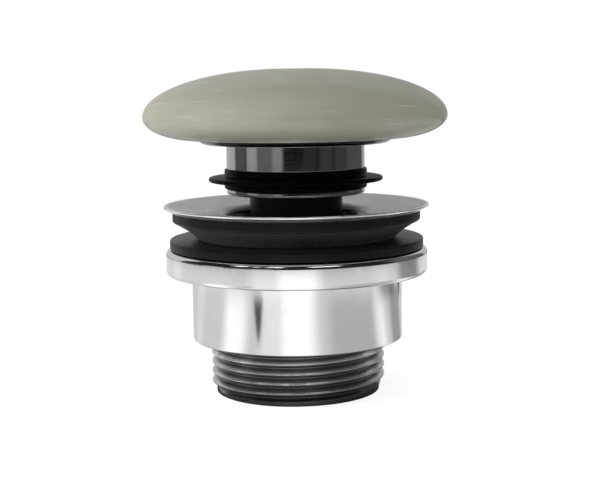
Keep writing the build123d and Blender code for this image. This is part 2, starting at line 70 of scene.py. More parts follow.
flange_r, tail_end, _ = reach("waste_body")
nut_flange_r, nut_bottom, nut_top = reach("back_nut")
washer_r, washer_bottom, washer_top = reach("basin_washer")
gasket_r, gasket_bottom, _ = reach("flange_gasket")
neck_r, neck_bottom, neck_top = reach("cartridge_housing")
sleeve_r, sleeve_bottom, sleeve_top = reach("plug_sleeve")
lip_r, seal_bottom, seal_top = reach("plug_seal")
plate_r, plate_bottom, plate_boss_top = reach("cap_plate")
ceramic_r, ceramic_bottom, ceramic_top = reach("ceramic_cap")
stud_head_r, stud_end, stud_peg_top = reach("cartridge_stud")
spring_r, spring_bottom, spring_top = reach("spring")
print("height", round(ceramic_top, 2), "widest", round(2 * ceramic_r, 2))

# %% [markdown]
# A lathe makes a shape by turning one outline about an axis, and so does the spin operator. The
# outline is a few corners, given as radius and height. Sharp corners are then rounded with bevel,
# one ring of edges at a time, as a turner breaks an edge with a file. A full spin needs
# use_merge, so that the last copy closes on the first, and the normals are worked out again,
# because a spin can turn a shape inside out.

# %% Turn an outline, and round its rings
around = 192
around_fine = 256
tiny = 1e-6


def turned(outline, steps=around, closed=True):
    """A spun shape from (radius, height) corners in millimetres."""
    bm = bmesh.new()
    corners = [bm.verts.new((r * mm, 0, z * mm)) for r, z in outline]
    following = corners[1:] + corners[:1] if closed else corners[1:]
    sides = [bm.edges.new(pair) for pair in zip(corners, following)]
    bmesh.ops.spin(
        bm, geom=corners + sides, cent=(0, 0, 0), axis=(0, 0, 1), angle=2 * pi,
        steps=steps, use_merge=True,
    )
    bmesh.ops.remove_doubles(bm, verts=bm.verts, dist=tiny)
    bmesh.ops.recalc_face_normals(bm, faces=bm.faces)
    return bm


def ring_edges(bm, r, z):
    """The edges of one ring, found by radius and height in millimetres."""
    spot = Vector((r * mm, z * mm))

    def on_ring(vert):
        return (Vector((vert.co.xy.length, vert.co.z)) - spot).length < 5 * tiny

    return [e for e in bm.edges if on_ring(e.verts[0]) and on_ring(e.verts[1])]


def round_ring(bm, r, z, size, segments=5):
    """Rounds one ring of edges to a radius in millimetres."""
    bmesh.ops.bevel(
        bm, geom=ring_edges(bm, r, z), offset=size * mm, offset_type="OFFSET",
        affect="EDGES", segments=segments, profile=0.5, material=-1,
    )


# %% [markdown]
# A finished mesh becomes an object that sits at the origin with its place in its vertices. Edges
# sharper than a set angle stay crisp and the rest are smoothed. A Weighted Normal modifier keeps
# large flat faces flat to the eye next to their narrow rounded edges, which matters on chrome.

# %% Make a piece from a mesh
crisp_angle = radians(32)


def make_piece(bm, name, body, slot, *nodes, weighted=True):
    """Turns a bmesh into a named object that rides on a body and stands for CAD nodes."""
    for edge in bm.edges:
        edge.smooth = edge.calc_face_angle(0) < crisp_angle
    for face in bm.faces:
        face.smooth = True
    mesh = bpy.data.meshes.new(name)
    bm.to_mesh(mesh)
    bm.free()
    obj = bpy.data.objects.new(name, mesh)
    bpy.context.scene.collection.objects.link(obj)
    if weighted:
        modifier = obj.modifiers.new("flat faces", "WEIGHTED_NORMAL")
        modifier.keep_sharp = True
    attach(obj, body)
    if nodes:
        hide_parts(*nodes)
    print(name, "faces", len(mesh.polygons))
    return obj


# %% [markdown]
# The ceramic cap is slip cast and glazed, a thick mushroom with a soft rim. Its section is two
# quarter ellipses that meet at its widest level, so it is drawn by formula and spun from the
# axis out. Underneath it is relieved round a post, and the post is bored for the plate's boss.
# The foot ring and the post sit on the plate, and the edges there are rounded, because glaze
# can't hold a sharp one.

# %% Ceramic cap
cap_wide = 66.13
cap_flat_r = 3.0
cap_foot_r = 24.2
cap_relief_r = 19.0
cap_relief_top = 64.2
cap_post_r = 9.5
cap_socket_r = 6.0
cap_socket_top = 68.2
cap_foot_round = 0.4
dome_steps = 36
under_steps = 18


def arc_points(centre, across, up, start, end, count):
    """Points of an elliptical arc: centre, half axes, start and end angle in degrees."""
    turns = [radians(start + (end - start) * i / count) for i in range(count + 1)]
    return [(centre[0] + across * cos(a), centre[1] + up * sin(a)) for a in turns]


dome_line = arc_points(
    (cap_flat_r, cap_wide), ceramic_r - cap_flat_r, ceramic_top - cap_wide, 90, 0, dome_steps
)
under_line = arc_points(
    (cap_foot_r, cap_wide), ceramic_r - cap_foot_r, cap_wide - ceramic_bottom, 0, -90, under_steps
)
cap_line = [(0, ceramic_top)] + dome_line + under_line[1:]
cap_line += [
    (cap_relief_r, ceramic_bottom),
    (cap_relief_r, cap_relief_top),
    (cap_post_r, cap_relief_top),
    (cap_post_r, ceramic_bottom),
    (cap_socket_r, ceramic_bottom),
    (cap_socket_r, cap_socket_top),
    (0, cap_socket_top),
]
cap_mesh = turned(cap_line, steps=around_fine, closed=False)
for r in (cap_relief_r, cap_post_r, cap_socket_r):
    round_ring(cap_mesh, r, ceramic_bottom, cap_foot_round, 3)
for r in (cap_relief_r, cap_post_r):
    round_ring(cap_mesh, r, cap_relief_top, 2 * cap_foot_round, 4)
glazed_cap = make_piece(cap_mesh, "glazed_cap", "plug", "cap_glaze", "ceramic_cap")

# %% [markdown]
# Under the cap lies a polished metal dish with a boss for the stud. Its underside curves up to a
# thin edge, an arc that leaves the flat level and ends at the rim, so the arc's centre stands
# straight above the point where it leaves.

# %% Cap plate
plate_top = ceramic_bottom
plate_boss_r = 5.6
plate_bore_r = 3.1
plate_edge_w = 2.2
plate_boss_round = 0.4
plate_t = plate_top - plate_bottom
plate_flat_r = plate_r - plate_edge_w
edge_arc_r = (plate_edge_w**2 + plate_t**2) / (2 * plate_t)
edge_turn = degrees(asin(plate_edge_w / edge_arc_r))
edge_centre = (plate_flat_r, plate_bottom + edge_arc_r)
plate_edge = arc_points(edge_centre, edge_arc_r, edge_arc_r, -90, edge_turn - 90, 10)
plate_mesh = turned(
    [(plate_bore_r, plate_bottom)]
    + plate_edge
    + [
        (plate_boss_r, plate_top),
        (plate_boss_r, plate_boss_top),
        (plate_bore_r, plate_boss_top),
    ]
)
round_ring(plate_mesh, plate_boss_r, plate_boss_top, plate_boss_round, 3)
polished_plate = make_piece(plate_mesh, "polished_plate", "plug", "plate_chrome", "cap_plate")

# %% [markdown]
# The sleeve is a turned steel cup, open below, with a groove for the seal. The two lips of the
# groove and the lower rim keep small broken edges, which is where turned steel catches the light.

# %% Plug sleeve
sleeve_bore_r = 12.1
sleeve_roof = 58.1
sleeve_hole_r = 3.1
groove_r = 14.7
sleeve_rim_round = 0.5
sleeve_bore_round = 0.3
groove_lip_round = 0.12
sleeve_mesh = turned(
    [
        (sleeve_bore_r, sleeve_bottom),
        (sleeve_r, sleeve_bottom),
        (sleeve_r, seal_bottom),
        (groove_r, seal_bottom),
        (groove_r, seal_top),
        (sleeve_r, seal_top),
        (sleeve_r, sleeve_top),
        (sleeve_hole_r, sleeve_top),
        (sleeve_hole_r, sleeve_roof),
        (sleeve_bore_r, sleeve_roof),
    ]
)
round_ring(sleeve_mesh, sleeve_r, sleeve_bottom, sleeve_rim_round, 5)
round_ring(sleeve_mesh, sleeve_bore_r, sleeve_bottom, sleeve_bore_round, 3)
for level in (seal_bottom, seal_top, sleeve_top):
    round_ring(sleeve_mesh, sleeve_r, level, groove_lip_round, 2)
turned_sleeve = make_piece(sleeve_mesh, "turned_sleeve", "plug", "sleeve_steel", "plug_sleeve")

# %% [markdown]
# The seal is a moulded rubber band with one lip. The lip tapers to a thin rounded tip, because it
# has to bend where it lands on the dish.

# %% Plug seal
seal_r = 17.07
lip_level = 51.2
lip_root_half = 0.95
lip_tip_half = 0.45
lip_tip_round = 0.4
lip_root_round = 0.35
band_round = 0.5
seal_mesh = turned(
    [
        (groove_r, seal_bottom),
        (seal_r, seal_bottom),
        (seal_r, lip_level - lip_root_half),
        (lip_r, lip_level - lip_tip_half),
        (lip_r, lip_level + lip_tip_half),
        (seal_r, lip_level + lip_root_half),
        (seal_r, seal_top),
        (groove_r, seal_top),
    ]
)
for level in (lip_level - lip_tip_half, lip_level + lip_tip_half):
    round_ring(seal_mesh, lip_r, level, lip_tip_round, 5)
for level in (seal_bottom, seal_top):
    round_ring(seal_mesh, seal_r, level, band_round, 5)
for level in (lip_level - lip_root_half, lip_level + lip_root_half):
    round_ring(seal_mesh, seal_r, level, lip_root_round, 4)
lipped_seal = make_piece(seal_mesh, "lipped_seal", "plug", "seal_rubber", "plug_seal")

# %% [markdown]
# The cartridge shows as a black moulded neck in the throat. Its cap has four notches for a pin
# spanner. The notches are cut by the CAD model, so the cap's own mesh is copied, its doubles are
# merged and it is smoothed, while the plain housing is turned again with a finer step.

# %% Cartridge neck and its cap
neck_foot_chamfer = 0.6
housing_bore_r = 9.0
chamber_r = 9.75
ring_seat = 36.3
housing_floor = 21.4
stud_hole_r = 4.1
neck_mesh = turned(
    [
        (stud_hole_r, neck_bottom),
        (neck_r - neck_foot_chamfer, neck_bottom),
        (neck_r, neck_bottom + neck_foot_chamfer),
        (neck_r, neck_top),
        (chamber_r, neck_top),
        (chamber_r, ring_seat),
        (housing_bore_r, ring_seat),
        (housing_bore_r, housing_floor),
        (stud_hole_r, housing_floor),
    ]
)
cartridge_neck = make_piece(
    neck_mesh, "cartridge_neck", "waste", "cartridge_black", "cartridge_housing"
)


def merged_copy(node):
    """A copy of a CAD node's mesh with its loose triangles welded together."""
    bm = bmesh.new()
    bm.from_mesh(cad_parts[node].data)
    bmesh.ops.remove_doubles(bm, verts=bm.verts, dist=tiny)
    return bm


neck_cap = make_piece(
    merged_copy("housing_cap"), "neck_cap", "waste", "cartridge_black", "housing_cap"
)

# %% [markdown]
# Two rubber rings seal the basin. The flat washer goes under it. It is moulded, so both of its
# outer edges have a small radius.

# %% Basin washer
washer_hole_r = 21.405
rubber_round = 0.35
washer_mesh = turned(
    [
        (washer_hole_r, washer_bottom),
        (washer_r, washer_bottom),
        (washer_r, washer_top),
        (washer_hole_r, washer_top),
    ]
)
for level in (washer_bottom, washer_top):
    round_ring(washer_mesh, washer_r, level, rubber_round, 4)
flat_washer = make_piece(
    washer_mesh, "flat_basin_washer", "clamp", "gasket_rubber", "basin_washer"
)

# %% [markdown]
# The coned gasket centres the flange in the basin's hole. It lies against the flange's underside,
# so its top follows the slope of the dish. The cone sags in a little between rim and foot, which
# four extra points on an arc are enough to show. Its faces go to a second material slot, because
# the cone is painted paler than the rim: partly a dusty bloom, and partly painted light.

# %% Flange gasket
dish_slope = 0.12748
rim_top = 45.15
flange_t = 1.15
gasket_hole_r = 21.205
gasket_rim_h = 2.35
gasket_foot_r = 23.6
gasket_foot_round = 0.5
cone_sag = 0.35


def dish_top(r):
    """Level of the dish at a radius, in millimetres."""
    return rim_top - (flange_r - r) * dish_slope


def dish_under(r):
    """Level of the flange's underside at a radius, in millimetres."""
    return dish_top(r) - flange_t


cone_top = dish_under(gasket_r) - gasket_rim_h
cone_run = Vector((gasket_foot_r - gasket_r, gasket_bottom - cone_top))
cone_in = Vector((cone_run.y, -cone_run.x)).normalized() * cone_sag
cone_line = [
    Vector((gasket_r, cone_top)) + cone_run * share + cone_in * 4 * share * (1 - share)
    for share in (0.2, 0.4, 0.6, 0.8)
]
gasket_mesh = turned(
    [(gasket_hole_r, gasket_bottom), (gasket_hole_r, dish_under(gasket_hole_r))]
    + [(gasket_r, dish_under(gasket_r)), (gasket_r, cone_top)]
    + [tuple(point) for point in cone_line]
    + [(gasket_foot_r, gasket_bottom)]
)
round_ring(gasket_mesh, gasket_r, cone_top, rubber_round, 4)
round_ring(gasket_mesh, gasket_foot_r, gasket_bottom, gasket_foot_round, 5)
# Faces below the rim's lower edge take the cone's material, painted paler as bloom and painted
# light.
for face in gasket_mesh.faces:
    face.material_index = int(face.calc_center_median().z < (cone_top - rubber_round) * mm)
coned_gasket = make_piece(
    gasket_mesh, "coned_flange_gasket", "waste", "gasket_rubber", "flange_gasket"
)

# %% [markdown]
# The back nut is turned from brass bar and chromed. Its flange has large rounded edges above and
# below, its barrel a small one at the foot, and the corner under the flange is rounded too. These
# radii carry all of its highlights, so they get many segments.

# %% Back nut
nut_barrel_r = 25.3
nut_bore_r = 21.03
nut_shoulder = nut_top - 6.0
nut_relief_r = 23.0
nut_relief_bottom = nut_top - 7.0
nut_relief_taper = 1.97
nut_lead = 0.8
nut_top_round = 1.2
nut_under_round = 1.0
nut_corner_round = 0.3
nut_foot_round = 0.4
nut_mesh = turned(
    [
        (nut_bore_r + nut_lead, nut_bottom),
        (nut_barrel_r, nut_bottom),
        (nut_barrel_r, nut_shoulder),
        (nut_flange_r, nut_shoulder),
        (nut_flange_r, nut_top),
        (nut_relief_r, nut_top),
        (nut_relief_r, nut_relief_bottom),
        (nut_bore_r, nut_relief_bottom - nut_relief_taper),
        (nut_bore_r, nut_bottom + nut_lead),
    ],
    steps=around_fine,
)
round_ring(nut_mesh, nut_flange_r, nut_top, nut_top_round, 8)
round_ring(nut_mesh, nut_flange_r, nut_shoulder, nut_under_round, 8)
round_ring(nut_mesh, nut_barrel_r, nut_bottom, nut_foot_round, 5)
round_ring(nut_mesh, nut_barrel_r, nut_shoulder, nut_corner_round, 3)
chromed_nut = make_piece(nut_mesh, "chromed_back_nut", "nut", "nut_chrome", "back_nut")

# %% [markdown]
# The tail carries a G 1 1/4 thread: flanks that stand 55 degrees apart, rounded crests and roots,
# and 2.309 mm from crest to crest. One pitch of its outline, spun once about the axis while it
# climbs, makes one turn of the helix: spin adds dvec at every step. Copies of that turn are set
# one pitch above each other. They meet point for point, so merging doubles welds them. The helix
# is made too long at both ends, and a bisect cut trims each end level.

# %% One pitch of the tail thread
pitch = 2.309
crest_r = 20.955
thread_depth = 0.640327 * pitch
thread_round = 0.137329 * pitch
flank_turn = 62.5
steps_per_turn = 120


def thread_line(crest, depth, curve, rise, arc_steps=4):
    """One pitch of a rounded thread from root to root, as (radius, height) points."""
    turns = [flank_turn * i / arc_steps for i in range(arc_steps + 1)]
    root = [
        (crest - depth + curve - curve * cos(radians(a)), curve * sin(radians(a))) for a in turns
    ]
    tip = [
        (crest - curve + curve * cos(radians(a)), rise / 2 + curve * sin(radians(a)))
        for a in [-a for a in reversed(turns)] + turns[1:]
    ]
    other_root = [(r, rise - z) for r, z in reversed(root)]
    return root + tip + other_root


def threaded(crest, depth, curve, rise, start, turns, steps, arc_steps=4):
    """An open helical surface that climbs from a start height, in millimetres."""
    bm = bmesh.new()
    outline = thread_line(crest, depth, curve, rise, arc_steps)
    line = [bm.verts.new((r * mm, 0, (z + start) * mm)) for r, z in outline]
    sides = [bm.edges.new(pair) for pair in zip(line, line[1:])]
    bmesh.ops.spin(
        bm, geom=line + sides, cent=(0, 0, 0), axis=(0, 0, 1), dvec=(0, 0, rise * mm / steps),
        angle=2 * pi, steps=steps, use_merge=False,
    )
    one_turn = bm.verts[:] + bm.edges[:] + bm.faces[:]
    for turn in range(1, turns):
        copied = bmesh.ops.duplicate(bm, geom=one_turn)["geom"]
        raised = [g for g in copied if isinstance(g, bmesh.types.BMVert)]
        bmesh.ops.translate(bm, verts=raised, vec=(0, 0, turn * rise * mm))
    bmesh.ops.remove_doubles(bm, verts=bm.verts, dist=tiny)
    return bm


def cut_level(bm, level, keep_above):
    """Trims a mesh at a height, in millimetres, and keeps what is above or below it."""
    bmesh.ops.bisect_plane(
        bm, geom=bm.verts[:] + bm.edges[:] + bm.faces[:], dist=tiny / 10,
        plane_co=(0, 0, level * mm), plane_no=(0, 0, 1),
        clear_inner=keep_above, clear_outer=not keep_above,
    )


print("thread depth", round(thread_depth, 3), "mm, crest radius", round(thread_round, 3), "mm")

# %% [markdown]
# The body is one casting with its thread cut on the outside. Its sizes come first. The thread is
# set so that a crest stands at a known height on the camera's side, three quarters of a turn round
# from where the spin starts, and the helix begins a few turns lower than it needs to.

# %% Body sizes
bore_r = 17.6
neck_below_root = 0.076
thread_neck_r = crest_r - thread_depth - neck_below_root
plain_neck = 3.2
thread_top = dish_under(thread_neck_r) - plain_neck
front_crest = 3.2
turned_down_r = 19.84
turned_down_top = 1.5
rim_edge_t = 0.5
rim_thin_w = 1.6
rim_round = 0.22
throat_round = 2.8
throat_top = dish_top(bore_r)
turn_at_front = 0.75
crest_in_pitch = 0.5
spare_turns = 3
helix_start = front_crest - pitch * (turn_at_front + crest_in_pitch) - spare_turns * pitch
helix_turns = int((thread_top - helix_start) / pitch) + 1
print("thread from", round(tail_end, 2), "to", round(thread_top, 2), "mm")

# %% [markdown]
# The end of the tail is turned down, so that the nut finds its way on. That is done by pulling
# the vertices in to a limit radius, and a small ramp leads from there up to the full thread.

# %% Threaded tail
body_mesh = threaded(
    crest_r, thread_depth, thread_round, pitch, helix_start, helix_turns, steps_per_turn
)
cut_level(body_mesh, tail_end, True)
cut_level(body_mesh, thread_top, False)
for vert in body_mesh.verts:
    limit = (turned_down_r + max(vert.co.z / mm - turned_down_top, 0)) * mm
    if vert.co.xy.length > limit:
        vert.co.xy *= limit / vert.co.xy.length
print("helix turns", helix_turns, "faces", len(body_mesh.faces))

# %% [markdown]
# The bore, the throat, the dished flange and the neck under it are one outline, spun as an open
# strip. The flange thins towards its rim, from below. Shapes are put together by passing each
# through a mesh, because a bmesh can only take in mesh data.

# %% Dish, throat and neck
shell_steps = 240


def join_shapes(base, *others):
    """Adds the other shapes to the first one and frees them."""
    for other in others:
        data = bpy.data.meshes.new("part")
        other.to_mesh(data)
        other.free()
        base.from_mesh(data)
        bpy.data.meshes.remove(data)


shell_line = [
    (bore_r, tail_end),
    (bore_r, throat_top),
    (flange_r, rim_top),
    (flange_r, rim_top - rim_edge_t),
    (flange_r - rim_thin_w, dish_under(flange_r - rim_thin_w)),
    (thread_neck_r, dish_under(thread_neck_r)),
    (thread_neck_r, thread_top),
]
shell = turned(shell_line, steps=shell_steps, closed=False)
round_ring(shell, bore_r, throat_top, throat_round, 10)
for level in (rim_top, rim_top - rim_edge_t):
    round_ring(shell, flange_r, level, rim_round, 5)
join_shapes(body_mesh, shell)
print("throat radius", bore_r, "mm, its edge rounded by", throat_round)


# %% [markdown]
# The threaded strip and the other one leave two flat gaps between an outer and an inner ring, one
# at the end face and one above the thread, and triangle_fill closes each of them. A closed shape
# has no open edge left, so their number is printed.


# %% Close the body
def open_ring(bm, level):
    """The open edges that lie at a height, in millimetres."""
    return [
        e for e in bm.edges
        if e.is_boundary and all(abs(v.co.z - level * mm) < 2 * tiny for v in e.verts)
    ]


for level in (tail_end, thread_top):
    bmesh.ops.triangle_fill(body_mesh, edges=open_ring(body_mesh, level), use_beauty=True)
bmesh.ops.recalc_face_normals(body_mesh, faces=body_mesh.faces)
print("open edges left", sum(e.is_boundary for e in body_mesh.edges))

# %% [markdown]
# Inside the tail four arms carry a boss, and the cartridge's stud goes through it. The boss is a
# short turned tube with its outer edges broken.

# %% Boss
boss_r = 9.0
boss_bottom = 13.0
boss_top = 19.0
boss_round = 0.3
boss_mesh = turned(
    [
        (stud_hole_r, boss_bottom),
        (boss_r, boss_bottom),
        (boss_r, boss_top),
        (stud_hole_r, boss_top),
    ]
)
for level in (boss_bottom, boss_top):
    round_ring(boss_mesh, boss_r, level, boss_round, 3)
print("boss", boss_top - boss_bottom, "mm tall")

# %% [markdown]
# An arm's outline from above is a capital I: a narrow web between two wider ends. Its four inner
# corners are bevelled to the casting's root radius, and the ends sit just inside the wall and the
# boss. The bevel stays a hair short of the full radius, so that it doesn't run into the next
# corner.

# %% Four arms
arm_bottom = 14.0
arm_top = 18.0
arm_half = 1.6
arm_root_round = 0.8
arm_end_t = 0.3
arm_wall_step = 0.02
bevel_share = 0.98
near_enough = 0.01


def arm_shape(turn):
    """One arm of the cross bar, at an angle in degrees."""
    bm = bmesh.new()
    end_half = arm_half + arm_root_round
    near, far = boss_r - arm_end_t, bore_r + arm_end_t
    inner, outer = boss_r, bore_r - arm_wall_step
    half_line = [
        (near, end_half),
        (inner, end_half),
        (inner, arm_half),
        (outer, arm_half),
        (outer, end_half),
        (far, end_half),
    ]
    line = half_line + [(x, -y) for x, y in reversed(half_line)]
    face = bm.faces.new([bm.verts.new((x * mm, y * mm, arm_bottom * mm)) for x, y in line])
    top = bmesh.ops.extrude_face_region(bm, geom=[face])
    raised = [v for v in top["geom"] if isinstance(v, bmesh.types.BMVert)]
    bmesh.ops.translate(bm, verts=raised, vec=(0, 0, (arm_top - arm_bottom) * mm))
    bmesh.ops.recalc_face_normals(bm, faces=bm.faces)

    def is_root(edge):
        upright = abs(edge.verts[0].co.z - edge.verts[1].co.z) > tiny
        x, y = edge.verts[0].co.x / mm, abs(edge.verts[0].co.y / mm)
        at_an_end = min(abs(x - inner), abs(x - outer)) < near_enough
        return upright and y < arm_half + near_enough and at_an_end

    roots = [e for e in bm.edges if is_root(e)]
    bmesh.ops.bevel(
        bm, geom=roots, offset=arm_root_round * mm * bevel_share, offset_type="OFFSET",
        affect="EDGES", segments=4, profile=0.5, material=-1,
    )
    swing = Matrix.Rotation(radians(turn), 3, "Z")
    bmesh.ops.rotate(bm, verts=bm.verts, cent=(0, 0, 0), matrix=swing)
    return bm


arm_turns = (45, 135, 225, 315)
join_shapes(body_mesh, boss_mesh, *[arm_shape(turn) for turn in arm_turns])
print("arms", len(arm_turns), "faces with the body", len(body_mesh.faces))

# %% [markdown]
# One casting has three finishes, so its faces are shared out between three material slots by
# where they lie: satin chrome on the dish, plating on the thread and the neck just above it, with
# painted shade that darkens it towards the thread's roots, and dull plating inside.

# %% Share out the body's faces
satin_slot, thread_slot, inside_slot = range(3)
plated_top = thread_top + 3.0
plated_r = crest_r + 0.1
for face in body_mesh.faces:
    middle = face.calc_center_median()
    r, level = middle.xy.length / mm, middle.z / mm
    if r < bore_r + near_enough and level < throat_top - throat_round:
        face.material_index = inside_slot
    elif level < plated_top and r < plated_r:
        face.material_index = thread_slot
    else:
        face.material_index = satin_slot
threaded_body = make_piece(body_mesh, "threaded_body", "waste", "body_chrome", "waste_body")

# %% [markdown]
# The stud that holds the cartridge down shows from below, so its M8 thread is real as well. The
# plain head, shank and spring peg are one outline, and the threaded length is a helix of its own
# that is trimmed at both ends and capped.

# %% Cartridge stud
stud_pitch = 1.25
stud_crest_r = 4.0
stud_root_depth = 0.64 * stud_pitch
stud_curve = 0.137 * stud_pitch
stud_thread_top = 16.0
stud_core_r = 3.1
stud_head_bottom = 21.4
stud_head_top = 22.9
stud_peg_r = 3.2
stud_peg_chamfer = 0.8
stud_end_step = 0.1
stud_steps = 48
stud_spare_below = 1.5
stud_spare_turns = 3
stud_start = stud_end - stud_spare_below * stud_pitch
stud_turns = int((stud_thread_top - stud_end) / stud_pitch) + stud_spare_turns
stud_mesh = threaded(
    stud_crest_r, stud_root_depth, stud_curve, stud_pitch,
    stud_start, stud_turns, stud_steps, arc_steps=3,
)
cut_level(stud_mesh, stud_end, True)
cut_level(stud_mesh, stud_thread_top, False)
for vert in stud_mesh.verts:
    limit = (stud_core_r + stud_end_step + (vert.co.z / mm - stud_end)) * mm
    if vert.co.xy.length > limit:
        vert.co.xy *= limit / vert.co.xy.length
stud_top_line = [
    (stud_crest_r, stud_thread_top),
    (stud_crest_r, stud_head_bottom),
    (stud_head_r, stud_head_bottom),
    (stud_head_r, stud_head_top),
    (stud_peg_r, stud_head_top),
    (stud_peg_r, stud_peg_top - stud_peg_chamfer),
    (stud_peg_r - stud_peg_chamfer, stud_peg_top),
    (0, stud_peg_top),
]
join_shapes(stud_mesh, turned(stud_top_line, steps=stud_steps, closed=False))
bmesh.ops.triangle_fill(stud_mesh, edges=open_ring(stud_mesh, stud_thread_top), use_beauty=True)
bmesh.ops.holes_fill(stud_mesh, edges=open_ring(stud_mesh, stud_end), sides=0)
bmesh.ops.recalc_face_normals(stud_mesh, faces=stud_mesh.faces)
threaded_stud = make_piece(stud_mesh, "threaded_stud", "waste", "stud_brass", "cartridge_stud")

# %% [markdown]
# The spring is a wire circle spun while it climbs, like the threads. It has one dead turn at each
# end, where the coils touch, so it is spun in three runs, each with its own climb. It shortens
# when the plug goes down.

# %% Spring
wire_r = 0.45
coil_r = spring_r - wire_r
dead_rise = 0.945
live_turns = 6
wire_sides = 12
coil_steps = 40
live_rise = spring_top - spring_bottom - 2 * wire_r - 2 * dead_rise
spring_runs = [(1, dead_rise), (live_turns, live_rise), (1, dead_rise)]
spring_mesh = bmesh.new()
wire = bmesh.ops.create_circle(
    spring_mesh, segments=wire_sides, radius=wire_r * mm, cap_ends=False
)["verts"]
stood_up = Matrix.Rotation(radians(90), 3, "X")
bmesh.ops.rotate(spring_mesh, verts=wire, cent=(0, 0, 0), matrix=stood_up)
bmesh.ops.translate(spring_mesh, verts=wire, vec=(coil_r * mm, 0, (spring_bottom + wire_r) * mm))
front = wire + spring_mesh.edges[:]
bmesh.ops.holes_fill(spring_mesh, edges=spring_mesh.edges[:], sides=0)
for turns, rise in spring_runs:
    steps = coil_steps * turns
    spun = bmesh.ops.spin(
        spring_mesh, geom=front, cent=(0, 0, 0), axis=(0, 0, 1), dvec=(0, 0, rise * mm / steps),
        angle=2 * pi * turns, steps=steps, use_merge=False,
    )
    front = [g for g in spun["geom_last"] if not isinstance(g, bmesh.types.BMFace)]
last_ring = [g for g in front if isinstance(g, bmesh.types.BMEdge)]
bmesh.ops.holes_fill(spring_mesh, edges=last_ring, sides=0)
bmesh.ops.recalc_face_normals(spring_mesh, faces=spring_mesh.faces)
coil_spring = make_piece(
    spring_mesh, "coil_spring", "waste", "spring_steel", "spring", weighted=False
)
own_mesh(coil_spring)

# %% [markdown]
# Materials are node trees. A few helpers keep them readable: one adds a node, one feeds a socket
# with a number or with another node's output, and the others add the nodes that are used most,
# such as Math, Map Range, Mix and Noise. The Mix node has sockets for every kind of data, and its
# colours are inputs 6 and 7 and output 2.


# %% Shader helpers
def place(tree, kind, **settings):
    """Adds a node of a kind to a tree and sets its properties."""
    node = tree.nodes.new(kind)
    for key, value in settings.items():
        setattr(node, key, value)
    return node


def feed(tree, socket, source):
    """Gives a socket a plain value, or links another node's output to it."""
    if isinstance(source, bpy.types.NodeSocket):
        tree.links.new(source, socket)
    else:
        socket.default_value = source


def sums(tree, operation, *values):
    """A Math node on numbers or sockets; returns its output."""
    node = place(tree, "ShaderNodeMath", operation=operation)
    for socket, value in zip(node.inputs, values):
        feed(tree, socket, value)
    return node.outputs[0]


def stretch(tree, value, low, high, new_low=0.0, new_high=1.0):
    """Maps a value smoothly from one range to another, held at its ends."""
    node = place(tree, "ShaderNodeMapRange", interpolation_type="SMOOTHSTEP")
    for socket, number in zip(node.inputs, (value, low, high, new_low, new_high)):
        feed(tree, socket, number)
    return node.outputs[0]


def tint(tree, share, first, second):
    """Mixes two colours by a share from 0 to 1."""
    node = place(tree, "ShaderNodeMix", data_type="RGBA")
    feed(tree, node.inputs[0], share)
    feed(tree, node.inputs[6], first)
    feed(tree, node.inputs[7], second)
    return node.outputs[2]


def noise(tree, size, detail=2.0, vector=None, dimensions="3D", w=None):
    """A Noise texture whose features are about a size in metres; returns its value."""
    node = place(tree, "ShaderNodeTexNoise", noise_dimensions=dimensions)
    node.inputs["Scale"].default_value = 1 / size
    node.inputs["Detail"].default_value = detail
    if vector is not None:
        feed(tree, node.inputs["Vector"], vector)
    if w is not None:
        feed(tree, node.inputs["W"], w)
    return node.outputs[0]


def place_coordinates(tree):
    """Object coordinates, split: returns the vector, the radius and the height."""
    coordinates = place(tree, "ShaderNodeTexCoord").outputs["Object"]
    split = place(tree, "ShaderNodeSeparateXYZ")
    feed(tree, split.inputs[0], coordinates)
    across = sums(tree, "MULTIPLY", split.outputs[0], split.outputs[0])
    deep = sums(tree, "MULTIPLY", split.outputs[1], split.outputs[1])
    return coordinates, sums(tree, "SQRT", sums(tree, "ADD", across, deep)), split.outputs[2]


def new_group(name, inputs, outputs):
    """A shader node group with named sockets; returns its tree, input node and output node."""
    tree = bpy.data.node_groups.new(name, "ShaderNodeTree")
    for label, value in inputs:
        socket = tree.interface.new_socket(
            name=label, in_out="INPUT", socket_type="NodeSocketFloat"
        )
        socket.default_value = value
    for label in outputs:
        tree.interface.new_socket(name=label, in_out="OUTPUT", socket_type="NodeSocketFloat")
    return tree, place(tree, "NodeGroupInput"), place(tree, "NodeGroupOutput")


def use_group(tree, group, **values):
    """Places a group in a material with its own values; returns the node."""
    node = place(tree, "ShaderNodeGroup", node_tree=group)
    for label, value in values.items():
        feed(tree, node.inputs[label], value)
    return node


# %% [markdown]
# Three effects are used by several finishes, so each is a group. Turning lines follow radius plus
# height, which runs along any turned surface, flat or round, so one group serves them all. Fine
# grain is the tooth of rubber and moulded plastic, and at a larger size the clouds in a glaze.
# Handling is the uneven film that fingers, wiping and dust leave. It is a mask, whose Cover sets
# how much of the surface it takes in, and it changes the roughness, and here and there the colour.

# %% Shared effects
turning, start, end = new_group("turning lines", [("Spacing", 0.0002)], ["Height"])
_, radius, height = place_coordinates(turning)
along = sums(turning, "DIVIDE", sums(turning, "ADD", radius, height), start.outputs["Spacing"])
feed(turning, end.inputs["Height"], noise(turning, 1.0, 3.0, dimensions="1D", w=along))


def sized_coordinates(tree, size):
    """Object coordinates divided by a size, so that a pattern comes out that big."""
    coordinates, _, _ = place_coordinates(tree)
    scaled = place(tree, "ShaderNodeVectorMath", operation="SCALE")
    feed(tree, scaled.inputs[0], coordinates)
    feed(tree, scaled.inputs["Scale"], sums(tree, "DIVIDE", 1.0, size))
    return scaled.outputs[0]


grain, start, end = new_group("fine grain", [("Size", 0.0003)], ["Height"])
tooth_place = sized_coordinates(grain, start.outputs["Size"])
feed(grain, end.inputs["Height"], noise(grain, 1.0, 3.0, vector=tooth_place))

